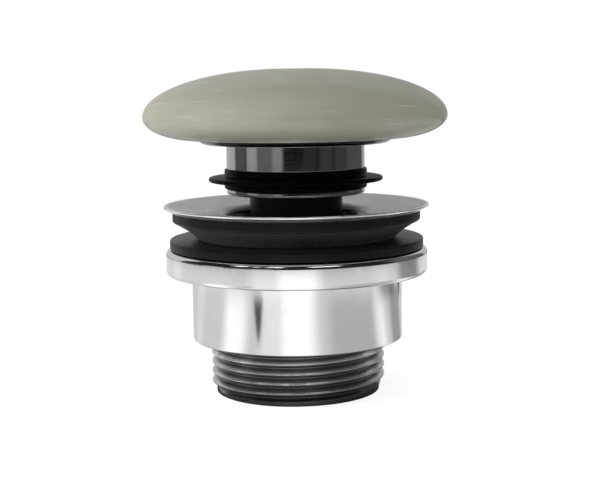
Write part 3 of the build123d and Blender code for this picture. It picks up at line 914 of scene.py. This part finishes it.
handling, start, end = new_group("handling", [("Size", 0.006), ("Cover", 0.5)], ["Mask"])
edge_at_no_cover = 0.75
edge_drop = 0.5
edge_soft = 0.12
film_place = sized_coordinates(handling, start.outputs["Size"])
patches = noise(handling, 1.0, 4.0, vector=film_place)
lowered = sums(handling, "MULTIPLY", start.outputs["Cover"], edge_drop)
edge = sums(handling, "SUBTRACT", edge_at_no_cover, lowered)
soft_foot = sums(handling, "SUBTRACT", edge, edge_soft)
feed(handling, end.inputs["Mask"], stretch(handling, patches, soft_foot, edge))
print("groups", [g.name for g in bpy.data.node_groups])


# %% [markdown]
# A material starts from the Principled shader. What is the same all over is set on its own
# sockets, and what varies is linked: colour, roughness and the height that a Bump node reads.


# %% Start a material
def new_material(name, **values):
    """A material with a Principled shader and plain values; returns it, its tree and shader."""
    material = bpy.data.materials.new(name)
    material.use_nodes = True
    tree = material.node_tree
    shader = tree.nodes["Principled BSDF"]
    for label, value in values.items():
        shader.inputs[label.replace("_", " ")].default_value = value
    return material, tree, shader


def bump(tree, shader, height, depth):
    """Feeds a height from 0 to 1 to the shader's normal, over a depth in metres."""
    node = place(tree, "ShaderNodeBump")
    node.inputs["Strength"].default_value = 1.0
    node.inputs["Distance"].default_value = depth
    feed(tree, node.inputs["Height"], height)
    feed(tree, shader.inputs["Normal"], node.outputs[0])


# %% [markdown]
# The glaze is a warm grey, a little uneven, under a thin clear coat. The coat gives the soft
# reflections and the body under it the colour, which is why Coat Weight is used and not a low
# roughness alone. Clouds and tiny pale specks keep it from looking like paint.

# %% Glaze
glaze, tree, shader = new_material(
    "cap glaze", Roughness=0.45, Specular_IOR_Level=0.3, Coat_Weight=0.35, Coat_Roughness=0.08
)
coordinates, radius, _ = place_coordinates(tree)
clouds = use_group(tree, grain, Size=0.014).outputs["Height"]
specks = use_group(tree, grain, Size=0.0005).outputs["Height"]
cloud_share = stretch(tree, clouds, 0.35, 0.65)
speck_share = stretch(tree, specks, 0.62, 0.72, 0.0, 0.25)
colour = tint(tree, cloud_share, (0.395, 0.384, 0.306, 1), (0.415, 0.404, 0.326, 1))
colour = tint(tree, speck_share, colour, (0.46, 0.45, 0.38, 1))
print("clouds and specks in", glaze.name)

# %% [markdown]
# A few faint pale streaks are painted into the glaze's colour: painted highlights, where thin
# lamps would glint in the coat. They are the peaks of a noise that a Mapping node stretches
# sideways and tips a little, so that they come out as long thin spindles. A coarser noise gathers
# them in a few places, and they fade towards the flat top.

# %% Painted highlight streaks in the glaze
streak_tip = radians(13)
streak_stretch = (0.2, 0.2, 5.0)
streak_size = 0.0022
streak_foot = 0.68
streak_peak = 0.75
painted_highlight_strength = 0.52
place_size = 0.013
place_from = 0.46
place_to = 0.56
flank_from = 0.014
flank_to = 0.024
stretched = place(tree, "ShaderNodeMapping")
stretched.inputs["Rotation"].default_value = (0.0, streak_tip, 0.0)
stretched.inputs["Scale"].default_value = streak_stretch
feed(tree, stretched.inputs["Vector"], coordinates)
ridge = noise(tree, streak_size, 0.0, vector=stretched.outputs[0])
streaks = stretch(tree, ridge, streak_foot, streak_peak, 0.0, painted_highlight_strength)
gathering = noise(tree, place_size, 0.0, vector=coordinates)
places = stretch(tree, gathering, place_from, place_to)
on_flank = stretch(tree, radius, flank_from, flank_to)
streaks = sums(tree, "MULTIPLY", streaks, sums(tree, "MULTIPLY", places, on_flank))
# The streaks' pale colour is a painted highlight, not a colour of the glaze itself.
colour = tint(tree, streaks, colour, (0.62, 0.61, 0.54, 1))
feed(tree, shader.inputs["Base Color"], colour)
wiped = use_group(tree, handling, Size=0.011, Cover=0.5).outputs["Mask"]
feed(tree, shader.inputs["Roughness"], stretch(tree, wiped, 0, 1, 0.42, 0.50))
bump(tree, shader, clouds, 0.00004)
glazed_cap.data.materials.append(glaze)
print("nodes in the glaze", len(tree.nodes))

# %% [markdown]
# Bare metals differ in how they were finished. The plate is polished and dark, the nut is bright
# chrome, and the sleeve keeps the fine rings of the turning tool, which smear its reflections up
# and down but not sideways. That comes from a bump of one-dimensional noise. The roughness of
# each varies a little with its film, because a perfectly even polish looks painted on.

# %% Polished plate, chromed nut and turned sleeve
plate_metal, tree, shader = new_material("dark polished plate", Metallic=1.0, Roughness=0.12)
lines = use_group(tree, turning, Spacing=0.00012).outputs["Height"]
film = use_group(tree, handling, Size=0.007, Cover=0.5).outputs["Mask"]
colour = tint(tree, lines, (0.09, 0.09, 0.093, 1), (0.12, 0.12, 0.123, 1))
feed(tree, shader.inputs["Base Color"], colour)
feed(tree, shader.inputs["Roughness"], stretch(tree, film, 0, 1, 0.10, 0.17))
bump(tree, shader, lines, 0.000002)
polished_plate.data.materials.append(plate_metal)

nut_metal, tree, shader = new_material("bright chrome", Metallic=1.0, Roughness=0.06)
film = use_group(tree, handling, Size=0.009, Cover=0.6).outputs["Mask"]
ripple = use_group(tree, grain, Size=0.003).outputs["Height"]
colour = tint(tree, film, (0.93, 0.935, 0.94, 1), (0.90, 0.905, 0.91, 1))
feed(tree, shader.inputs["Base Color"], colour)
feed(tree, shader.inputs["Roughness"], stretch(tree, film, 0, 1, 0.09, 0.13))
bump(tree, shader, ripple, 0.000003)
chromed_nut.data.materials.append(nut_metal)

sleeve_metal, tree, shader = new_material("turned steel", Metallic=1.0, Roughness=0.2)
lines = use_group(tree, turning, Spacing=0.00016).outputs["Height"]
bands = use_group(tree, turning, Spacing=0.0011).outputs["Height"]
colour = tint(tree, lines, (0.50, 0.50, 0.495, 1), (0.64, 0.64, 0.635, 1))
feed(tree, shader.inputs["Base Color"], colour)
feed(tree, shader.inputs["Roughness"], stretch(tree, bands, 0.3, 0.7, 0.10, 0.13))
bump(tree, shader, lines, 0.000005)
turned_sleeve.data.materials.append(sleeve_metal)
print("metals", plate_metal.name, "/", nut_metal.name, "/", sleeve_metal.name)

# %% [markdown]
# Rubber is nearly black, but its fine tooth and a dusty bloom make it read grey where light grazes
# it, which is what Sheen is for. The gasket's cone is painted far paler than the rim, partly as
# bloom and partly as painted light. The seal is the same rubber, newer, so it stays darker and has
# no sheen.


# %% Rubber
def rubber(name, dark, pale, rough, sheen, shine):
    """A moulded rubber with a grain and a bloom."""
    material, tree, shader = new_material(
        name, Roughness=rough, Sheen_Weight=sheen, Sheen_Roughness=0.45, Specular_IOR_Level=shine
    )
    tooth = use_group(tree, grain, Size=0.00022).outputs["Height"]
    bloom = use_group(tree, handling, Size=0.005, Cover=0.55).outputs["Mask"]
    bloom_share = stretch(tree, bloom, 0, 1, 0.0, 0.6)
    feed(tree, shader.inputs["Base Color"], tint(tree, bloom_share, dark, pale))
    rough_here = stretch(tree, tooth, 0.3, 0.7, rough - 0.06, rough + 0.06)
    feed(tree, shader.inputs["Roughness"], rough_here)
    bump(tree, shader, tooth, 0.000012)
    return material


ring_rubber = rubber(
    "gasket rubber", (0.002, 0.002, 0.0021, 1), (0.005, 0.005, 0.0052, 1),
    rough=0.34, sheen=0.01, shine=0.24,
)
# The cone's colours are painted about ten times paler than the rim's: partly bloom, partly painted
# light.
cone_rubber_painted_paler = rubber(
    "bloomed rubber with painted light", (0.028, 0.028, 0.0285, 1), (0.050, 0.050, 0.051, 1),
    rough=0.45, sheen=0.05, shine=0.12,
)
seal_rubber = rubber(
    "seal rubber", (0.001, 0.001, 0.001, 1), (0.002, 0.002, 0.002, 1),
    rough=0.36, sheen=0.0, shine=0.05,
)
coned_gasket.data.materials.append(ring_rubber)
coned_gasket.data.materials.append(cone_rubber_painted_paler)
flat_washer.data.materials.append(ring_rubber)
lipped_seal.data.materials.append(seal_rubber)
print("rubbers", ring_rubber.name, "/", cone_rubber_painted_paler.name, "/", seal_rubber.name)

# %% [markdown]
# The cartridge is moulded plastic. A mould's spark-eroded face leaves a faint even grain. The
# housing is black, and the two parts that run against each other inside are acetal, which is
# slippery: one white and one blue, so that they can't be mixed up.


# %% Moulded plastics
def moulded(name, first, second, rough, shine):
    """A moulded plastic: two near colours, an even grain."""
    material, tree, shader = new_material(name, Roughness=rough, Specular_IOR_Level=shine)
    tooth = use_group(tree, grain, Size=0.0003).outputs["Height"]
    flow = use_group(tree, grain, Size=0.006).outputs["Height"]
    flow_share = stretch(tree, flow, 0.35, 0.65)
    feed(tree, shader.inputs["Base Color"], tint(tree, flow_share, first, second))
    rough_here = stretch(tree, tooth, 0.3, 0.7, rough - 0.05, rough + 0.05)
    feed(tree, shader.inputs["Roughness"], rough_here)
    bump(tree, shader, tooth, 0.000008)
    return material


black_plastic = moulded(
    "black moulding", (0.002, 0.002, 0.0022, 1), (0.004, 0.004, 0.0042, 1), rough=0.36, shine=0.2
)
white_acetal = moulded(
    "white acetal", (0.72, 0.71, 0.68, 1), (0.80, 0.79, 0.76, 1), rough=0.4, shine=0.5
)
blue_acetal = moulded(
    "blue acetal", (0.12, 0.24, 0.42, 1), (0.15, 0.28, 0.47, 1), rough=0.4, shine=0.5
)
cartridge_neck.data.materials.append(black_plastic)
neck_cap.data.materials.append(black_plastic)
print("plastics", black_plastic.name, "/", white_acetal.name, "/", blue_acetal.name)

# %% [markdown]
# The body's three finishes: satin chrome with turning rings on the dish and a polished rim, a
# plating on the thread that is pale on the crests and painted darker towards the roots, as painted
# shade, and a dull plating inside. How deep a point lies in the thread is its radius, so the
# painted root shade is a stretch of radius. The rim of the dish is found by radius too.

# %% Body finishes
satin, tree, shader = new_material("satin chrome", Metallic=0.86, Roughness=0.28)
lines = use_group(tree, turning, Spacing=0.00022).outputs["Height"]
film = use_group(tree, handling, Size=0.008, Cover=0.5).outputs["Mask"]
colour = tint(tree, lines, (0.62, 0.625, 0.63, 1), (0.68, 0.685, 0.69, 1))
_, radius, _ = place_coordinates(tree)
rim_from = flange_r - 1.0
rim_to = flange_r - 0.4
rim_smoother = 0.22
rim_share = stretch(tree, radius, rim_from * mm, rim_to * mm)
soft_rough = stretch(tree, film, 0, 1, 0.30, 0.36)
polish = sums(tree, "MULTIPLY", rim_share, rim_smoother)
feed(tree, shader.inputs["Base Color"], tint(tree, rim_share, colour, (0.95, 0.955, 0.96, 1)))
feed(tree, shader.inputs["Roughness"], sums(tree, "SUBTRACT", soft_rough, polish))
bump(tree, shader, lines, 0.0000012)

thread_metal, tree, shader = new_material("thread plating", Metallic=1.0, Roughness=0.2)
_, radius, _ = place_coordinates(tree)
# The base colour falls from the crests to the roots: painted shade in the thread's roots.
crest_share = stretch(tree, radius, (crest_r - thread_depth) * mm, crest_r * mm)
film = use_group(tree, handling, Size=0.003, Cover=0.6).outputs["Mask"]
colour = tint(tree, crest_share, (0.20, 0.20, 0.20, 1), (0.97, 0.97, 0.97, 1))
film_share = stretch(tree, film, 0, 1, 0, 0.25)
colour = tint(tree, film_share, colour, (0.24, 0.238, 0.234, 1))
feed(tree, shader.inputs["Base Color"], colour)
feed(tree, shader.inputs["Roughness"], stretch(tree, film, 0, 1, 0.13, 0.21))
bump(tree, shader, use_group(tree, grain, Size=0.0004).outputs["Height"], 0.000004)

inside, tree, shader = new_material("dull inside plating", Metallic=1.0, Roughness=0.4)
cast = use_group(tree, grain, Size=0.0006).outputs["Height"]
colour = tint(tree, cast, (0.30, 0.30, 0.30, 1), (0.42, 0.42, 0.42, 1))
feed(tree, shader.inputs["Base Color"], colour)
feed(tree, shader.inputs["Roughness"], stretch(tree, cast, 0.3, 0.7, 0.34, 0.46))
bump(tree, shader, cast, 0.00002)
for finish in (satin, thread_metal, inside):
    threaded_body.data.materials.append(finish)
print("body finishes", [m.name for m in threaded_body.data.materials])


# %% [markdown]
# The small turned parts inside are brass and steel, with turning lines like the sleeve's. The
# pieces that don't show keep the mesh that the frame gave them, and only their material slot is
# filled.


# %% Turned brass and steel, and the pieces that keep their mesh
def turned_metal(name, first, second, rough):
    """A turned metal: two near colours along its tool lines."""
    material, tree, shader = new_material(name, Metallic=1.0, Roughness=rough)
    lines = use_group(tree, turning, Spacing=0.00018).outputs["Height"]
    film = use_group(tree, handling, Size=0.003, Cover=0.5).outputs["Mask"]
    feed(tree, shader.inputs["Base Color"], tint(tree, lines, first, second))
    feed(tree, shader.inputs["Roughness"], stretch(tree, film, 0, 1, rough - 0.05, rough + 0.08))
    bump(tree, shader, lines, 0.00001)
    return material


brass = turned_metal("turned brass", (0.60, 0.43, 0.18, 1), (0.74, 0.56, 0.28, 1), rough=0.3)
steel = turned_metal("turned stud steel", (0.50, 0.50, 0.50, 1), (0.64, 0.64, 0.64, 1), rough=0.3)
wire_steel = turned_metal("spring wire", (0.42, 0.42, 0.43, 1), (0.54, 0.54, 0.55, 1), rough=0.25)
threaded_stud.data.materials.append(brass)
coil_spring.data.materials.append(wire_steel)
kept = {
    "wiper_ring": seal_rubber,
    "plunger": white_acetal,
    "index_ring": blue_acetal,
    "index_pins": steel,
    "stud_washer": brass,
    "lock_nut": brass,
    "cap_stud": steel,
}
for node, material in kept.items():
    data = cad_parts[node].data
    data.materials.clear()
    data.materials.append(material)
print("kept nodes with a finish", sorted(kept))

# %% [markdown]
# The studio. The floor and the world are plain white to the camera. Metal shows what stands
# round it, so the world has a second face that only reflections see: a dark room above the
# table's edge, with soft upright light strips, lamps higher up for the sparks on the rounded
# edges, and a paler ceiling straight above. Each strip and lamp is a band of azimuth times a band
# of elevation, both in degrees. Azimuth 0 is the camera's side.

# %% Studio sizes
room_shade = 0.012
strips = [  # name, azimuth, half width, softness, top, shade
    ("wall behind on the left", -152, 31, 3, 38, 0.56),
    ("corner on the left", -105, 12, 4, 6, 0.11),
    ("window on the left", -77, 9, 4, 6, 0.43),
    ("card left of the camera", -52, 13, 4, 6, 0.16),
    ("lamp by the camera", -30, 7, 4, 6, 0.32),
    ("shelf right of the camera", 24, 9, 6, 6, 0.030),
    ("card right of the camera", 52, 9, 7, 6, 0.052),
    ("door on the right", 84, 13, 7, 6, 0.060),
    ("wall on the right", 120, 24, 4, 38, 0.10),
    ("wall behind on the right", 164, 16, 6, 38, 0.48),
]
strip_foot = -9
strip_end_soft = 5
ceiling_lamps = [(-63, 7), (-44, 2), (-23, 8), (30, 16)]  # azimuth, half width
lamp_low = 44
lamp_high = 52
lamp_side_soft = 1
lamp_end_soft = 2
lamp_shade = 2.2
overhead_from = 66.0
overhead_to = 80.0
overhead_shade = 0.35
ambient_strength = 0.41
print("strips", len(strips), "lamps", len(ceiling_lamps))

# %% [markdown]
# Both the world and the floor ask in which direction round the object something lies, and whether
# a value is inside a band, so these two are helpers. arctan2 gives the direction all the way
# round, with its seam behind the object.


# %% Directions and bands
def azimuth_of(tree, direction):
    """Degrees round the object from the camera's side, from a vector's output."""
    split = place(tree, "ShaderNodeSeparateXYZ")
    feed(tree, split.inputs[0], direction)
    towards_camera = sums(tree, "MULTIPLY", split.outputs[1], -1.0)
    return sums(tree, "DEGREES", sums(tree, "ARCTAN2", split.outputs[0], towards_camera))


def band(tree, value, low, high, soft):
    """1 between two values and 0 outside them, with soft edges."""
    rise = stretch(tree, value, float(low - soft), float(low))
    fall = stretch(tree, value, float(high + soft), float(high))
    return sums(tree, "MULTIPLY", rise, fall)


# %% [markdown]
# In a world's tree Generated is the direction of the ray. The brightest of the room, the strips,
# the lamps and the ceiling wins, so they can overlap without adding up.

# %% Studio world
world = bpy.data.worlds.new("studio")
bpy.context.scene.world = world
world.use_nodes = True
tree = world.node_tree
tree.nodes.clear()
direction = place(tree, "ShaderNodeTexCoord").outputs["Generated"]
azimuth = azimuth_of(tree, direction)
split = place(tree, "ShaderNodeSeparateXYZ")
feed(tree, split.inputs[0], direction)
elevation = sums(tree, "DEGREES", sums(tree, "ARCSINE", split.outputs[2]))
light = room_shade
for _, centre, half_width, soft, top, shade in strips:
    mask = band(tree, azimuth, centre - half_width, centre + half_width, soft)
    mask = sums(tree, "MULTIPLY", mask, band(tree, elevation, strip_foot, top, strip_end_soft))
    light = sums(tree, "MAXIMUM", light, sums(tree, "MULTIPLY", mask, shade))
for centre, half_width in ceiling_lamps:
    mask = band(tree, azimuth, centre - half_width, centre + half_width, lamp_side_soft)
    height_mask = band(tree, elevation, lamp_low, lamp_high, lamp_end_soft)
    mask = sums(tree, "MULTIPLY", mask, height_mask)
    light = sums(tree, "MAXIMUM", light, sums(tree, "MULTIPLY", mask, lamp_shade))
overhead = stretch(tree, elevation, overhead_from, overhead_to)
light = sums(tree, "MAXIMUM", light, sums(tree, "MULTIPLY", overhead, overhead_shade))
print("nodes for the studio's light", len(tree.nodes))

# %% [markdown]
# Light Path shares the world out: white for the camera and for rays that pass through something
# clear, the studio for reflections, and an even light for everything else. Each of the three is a
# white Background with its own strength.


# %% Who sees what of the world
def background(tree, strength):
    """A white background shader of a strength."""
    node = place(tree, "ShaderNodeBackground")
    node.inputs["Color"].default_value = (1, 1, 1, 1)
    feed(tree, node.inputs["Strength"], strength)
    return node


studio = background(tree, light)
ambient = background(tree, ambient_strength)
white = background(tree, 1.0)
paths = place(tree, "ShaderNodeLightPath")
seen_in_metal = place(tree, "ShaderNodeMixShader")
feed(tree, seen_in_metal.inputs[0], paths.outputs["Is Glossy Ray"])
feed(tree, seen_in_metal.inputs[1], ambient.outputs[0])
feed(tree, seen_in_metal.inputs[2], studio.outputs[0])
seen_by_camera = place(tree, "ShaderNodeMixShader")
seen_directly = sums(
    tree, "MAXIMUM", paths.outputs["Is Camera Ray"], paths.outputs["Is Transmission Ray"]
)
feed(tree, seen_by_camera.inputs[0], seen_directly)
feed(tree, seen_by_camera.inputs[1], seen_in_metal.outputs[0])
feed(tree, seen_by_camera.inputs[2], white.outputs[0])
feed(tree, place(tree, "ShaderNodeOutputWorld").inputs[0], seen_by_camera.outputs[0])
print("nodes in the world", len(tree.nodes))

# %% [markdown]
# The floor is a disc, and it has four faces. To the camera it is white with a soft contact
# shadow: a plain glow plus a little shading. From below it is clear, so that the underside can be
# looked at. In polished metal it is a white table top that is lit unevenly round the object, and
# that darkens away from it, because that is what the chromed nut and the thread show. To all
# other light it is plain pale paint.

# %% Floor sizes
floor_r = 0.45
table_near = 0.25
table_far = 0.34
table_shade = 0.64
outer_share = 1.16
inner_r = 0.17
ring_soft = 0.02
table_patches = [  # azimuth, half width, softness, from radius, to radius, shade
    (-121, 3, 10, 0, floor_r, 0.74),
    (-64, 5, 15, 0, inner_r, 1.12),
    (-24, 6, 14, 0, floor_r, 0.84),
    (0, 9, 16, 0, floor_r, 1.12),
    (91, 3, 11, 0, inner_r, 0.98),
    (72, 3, 10, inner_r, floor_r, 0.72),
]
table_dips = [  # azimuth, half width, softness, from radius, to radius, share kept
    (59, 20, 16, 0, inner_r, 0.70),
    (124, 8, 10, 0, inner_r, 0.52),
    (108, 9, 14, inner_r, floor_r, 0.36),
]
contact_r = 0.022
clear_r = 0.046
contact_share = 0.12
table_paint = (0.80, 0.80, 0.80, 1)
shadow_paint = (0.35, 0.35, 0.35, 1)
floor_glow = 0.85
print("patches", len(table_patches), "dips", len(table_dips))

# %% [markdown]
# The disc is one face with many corners.

# %% Floor disc
floor_sides = 96
floor_mesh = bmesh.new()
bmesh.ops.create_circle(floor_mesh, segments=floor_sides, radius=floor_r, cap_ends=True)
floor_data = bpy.data.meshes.new("floor")
floor_mesh.to_mesh(floor_data)
floor_mesh.free()
floor = bpy.data.objects.new("floor", floor_data)
bpy.context.scene.collection.objects.link(floor)
print("floor radius", floor_r, "m")

# %% [markdown]
# What metal sees of the table is built up in steps: an even shade, brighter patches of which the
# brightest wins, dips that take from it, a ring further out, a fade at the edge, and the contact
# shadow round the foot. Then the four faces are chained with Mix Shader nodes, and Light Path and
# Backfacing choose between them.

# %% Floor finish
floor_paint = bpy.data.materials.new("white table")
floor_paint.use_nodes = True
tree = floor_paint.node_tree
tree.nodes.clear()
paths = place(tree, "ShaderNodeLightPath")
coordinates, radius, _ = place_coordinates(tree)
azimuth = azimuth_of(tree, coordinates)
seen = table_shade
for centre, half_width, soft, near, far, shade in table_patches:
    mask = band(tree, azimuth, centre - half_width, centre + half_width, soft)
    mask = sums(tree, "MULTIPLY", mask, band(tree, radius, near, far, ring_soft))
    patch = sums(tree, "ADD", table_shade, sums(tree, "MULTIPLY", mask, shade - table_shade))
    seen = sums(tree, "MAXIMUM", seen, patch)
for centre, half_width, soft, near, far, share in table_dips:
    mask = band(tree, azimuth, centre - half_width, centre + half_width, soft)
    mask = sums(tree, "MULTIPLY", mask, band(tree, radius, near, far, ring_soft))
    dip = sums(tree, "SUBTRACT", 1.0, sums(tree, "MULTIPLY", mask, 1 - share))
    seen = sums(tree, "MULTIPLY", seen, dip)
outer_ring = stretch(tree, radius, inner_r, inner_r + ring_soft, 1.0, outer_share)
fade = stretch(tree, radius, table_far, table_near)
contact = stretch(tree, radius, contact_r, clear_r, contact_share, 1.0)
for share in (outer_ring, fade, contact):
    seen = sums(tree, "MULTIPLY", seen, share)
table = place(tree, "ShaderNodeBsdfDiffuse")
table.inputs["Color"].default_value = table_paint
pale = place(tree, "ShaderNodeBsdfDiffuse")
pale.inputs["Color"].default_value = shadow_paint
glow = place(tree, "ShaderNodeEmission")
glow.inputs["Strength"].default_value = floor_glow
both = place(tree, "ShaderNodeAddShader")
feed(tree, both.inputs[0], pale.outputs[0])
feed(tree, both.inputs[1], glow.outputs[0])
mirrored = place(tree, "ShaderNodeEmission")
feed(tree, mirrored.inputs["Strength"], seen)
clear = place(tree, "ShaderNodeBsdfTransparent")
back_side = place(tree, "ShaderNodeNewGeometry").outputs["Backfacing"]
from_below = sums(tree, "MULTIPLY", paths.outputs["Is Camera Ray"], back_side)
faces = [
    (paths.outputs["Is Glossy Ray"], mirrored),
    (paths.outputs["Is Camera Ray"], both),
    (from_below, clear),
]
surface = table
for share, face in faces:
    choice = place(tree, "ShaderNodeMixShader")
    feed(tree, choice.inputs[0], share)
    feed(tree, choice.inputs[1], surface.outputs[0])
    feed(tree, choice.inputs[2], face.outputs[0])
    surface = choice
feed(tree, place(tree, "ShaderNodeOutputMaterial").inputs[0], surface.outputs[0])
floor_data.materials.append(floor_paint)
print("nodes in the floor", len(tree.nodes))


# %% [markdown]
# Two small dark cards hang over the table outside the picture, like pegs. Only mirrors see them:
# they draw the narrow dark streaks down the nut's barrel, and they taper downwards as the streaks
# do. Their ray visibility is switched off for the camera, for soft light and for shadows.


# %% Dark pegs
peg_t = 2.0
peg_round = 0.3


def dark_peg(name, azimuth, distance, width, tall, lift, taper):
    """A hanging card that only reflections see, in degrees and millimetres."""
    bm = bmesh.new()
    bmesh.ops.create_cube(bm, size=1.0)
    bmesh.ops.scale(bm, verts=bm.verts, vec=(width * mm, peg_t * mm, tall * mm))
    low = [v for v in bm.verts if v.co.z < 0]
    bmesh.ops.scale(bm, verts=low, vec=(taper, 1, 1))
    bmesh.ops.bevel(
        bm, geom=bm.edges[:], offset=peg_round * mm, offset_type="OFFSET",
        affect="EDGES", segments=3, profile=0.5, material=-1,
    )
    bmesh.ops.translate(bm, verts=bm.verts, vec=(0, -distance * mm, (lift + tall / 2) * mm))
    swing = Matrix.Rotation(radians(azimuth), 3, "Z")
    bmesh.ops.rotate(bm, verts=bm.verts, cent=(0, 0, 0), matrix=swing)
    data = bpy.data.meshes.new(name)
    bm.to_mesh(data)
    bm.free()
    peg = bpy.data.objects.new(name, data)
    bpy.context.scene.collection.objects.link(peg)
    peg.visible_camera = False
    peg.visible_diffuse = False
    peg.visible_shadow = False
    data.materials.append(card)
    print(name, "faces", len(data.polygons))


card, tree, shader = new_material("dark card", Roughness=0.6, Specular_IOR_Level=0.1)
fibres = use_group(tree, grain, Size=0.0008).outputs["Height"]
card_colour = tint(tree, fibres, (0.003, 0.003, 0.003, 1), (0.006, 0.006, 0.006, 1))
feed(tree, shader.inputs["Base Color"], card_colour)
dark_peg("left_peg", azimuth=-36.6, distance=92, width=15, tall=11.5, lift=2.5, taper=0.3)
dark_peg("right_peg", azimuth=134, distance=110, width=14, tall=7, lift=7, taper=0.5)


# %% [markdown]
# The lights are large and soft. The key stands on the left, so the glaze falls from light to
# dark across the cap, and two weaker ones fill from the front right and from above. Sizes and
# places are in metres, powers in watts.


# %% Lights
def softbox(name, place_at, aim, size, power):
    """A square area light that points at a spot; it isn't seen in reflections."""
    lamp = bpy.data.lights.new(name, "AREA")
    lamp.size = size
    lamp.energy = power
    obj = bpy.data.objects.new(name, lamp)
    obj.location = place_at
    obj.rotation_euler = (Vector(aim) - Vector(place_at)).to_track_quat("-Z", "Y").to_euler()
    obj.visible_glossy = False
    bpy.context.scene.collection.objects.link(obj)
    print(name, power, "W")


middle = (0, 0, 0.045)
softbox("key", (-0.74, -0.20, 0.22), middle, size=0.45, power=4.7)
softbox("fill", (0.45, -0.60, 0.14), middle, size=0.50, power=1.15)
softbox("top", (0.0, 0.10, 0.80), middle, size=0.60, power=1.0)

# %% [markdown]
# The camera stands about 31 centimetres away, a little above the rim of the cap, and looks down
# by seven and a half degrees. It was found by fitting the rings' ellipses in the photograph. It is
# placed by one matrix: a move, times a tilt, times a small roll about its own line of sight.

# %% Camera
focal = 78
sensor_width = 36
nearest = 0.01
stands_at = (0.00079, -0.3114, 0.0749)
look_down = 7.52
roll = -0.75
camera_data = bpy.data.cameras.new("camera")
camera_data.lens = focal
camera_data.sensor_width = sensor_width
camera_data.clip_start = nearest
camera = bpy.data.objects.new("camera", camera_data)
bpy.context.scene.collection.objects.link(camera)
tilt = Euler((radians(90 - look_down), 0, 0)).to_matrix().to_4x4()
lean = Matrix.Rotation(radians(roll), 4, "Z")
camera.matrix_world = Matrix.Translation(stands_at) @ tilt @ lean
bpy.context.scene.camera = camera
bpy.context.scene.view_settings.view_transform = "Standard"
print("camera", stands_at, "lens", focal)
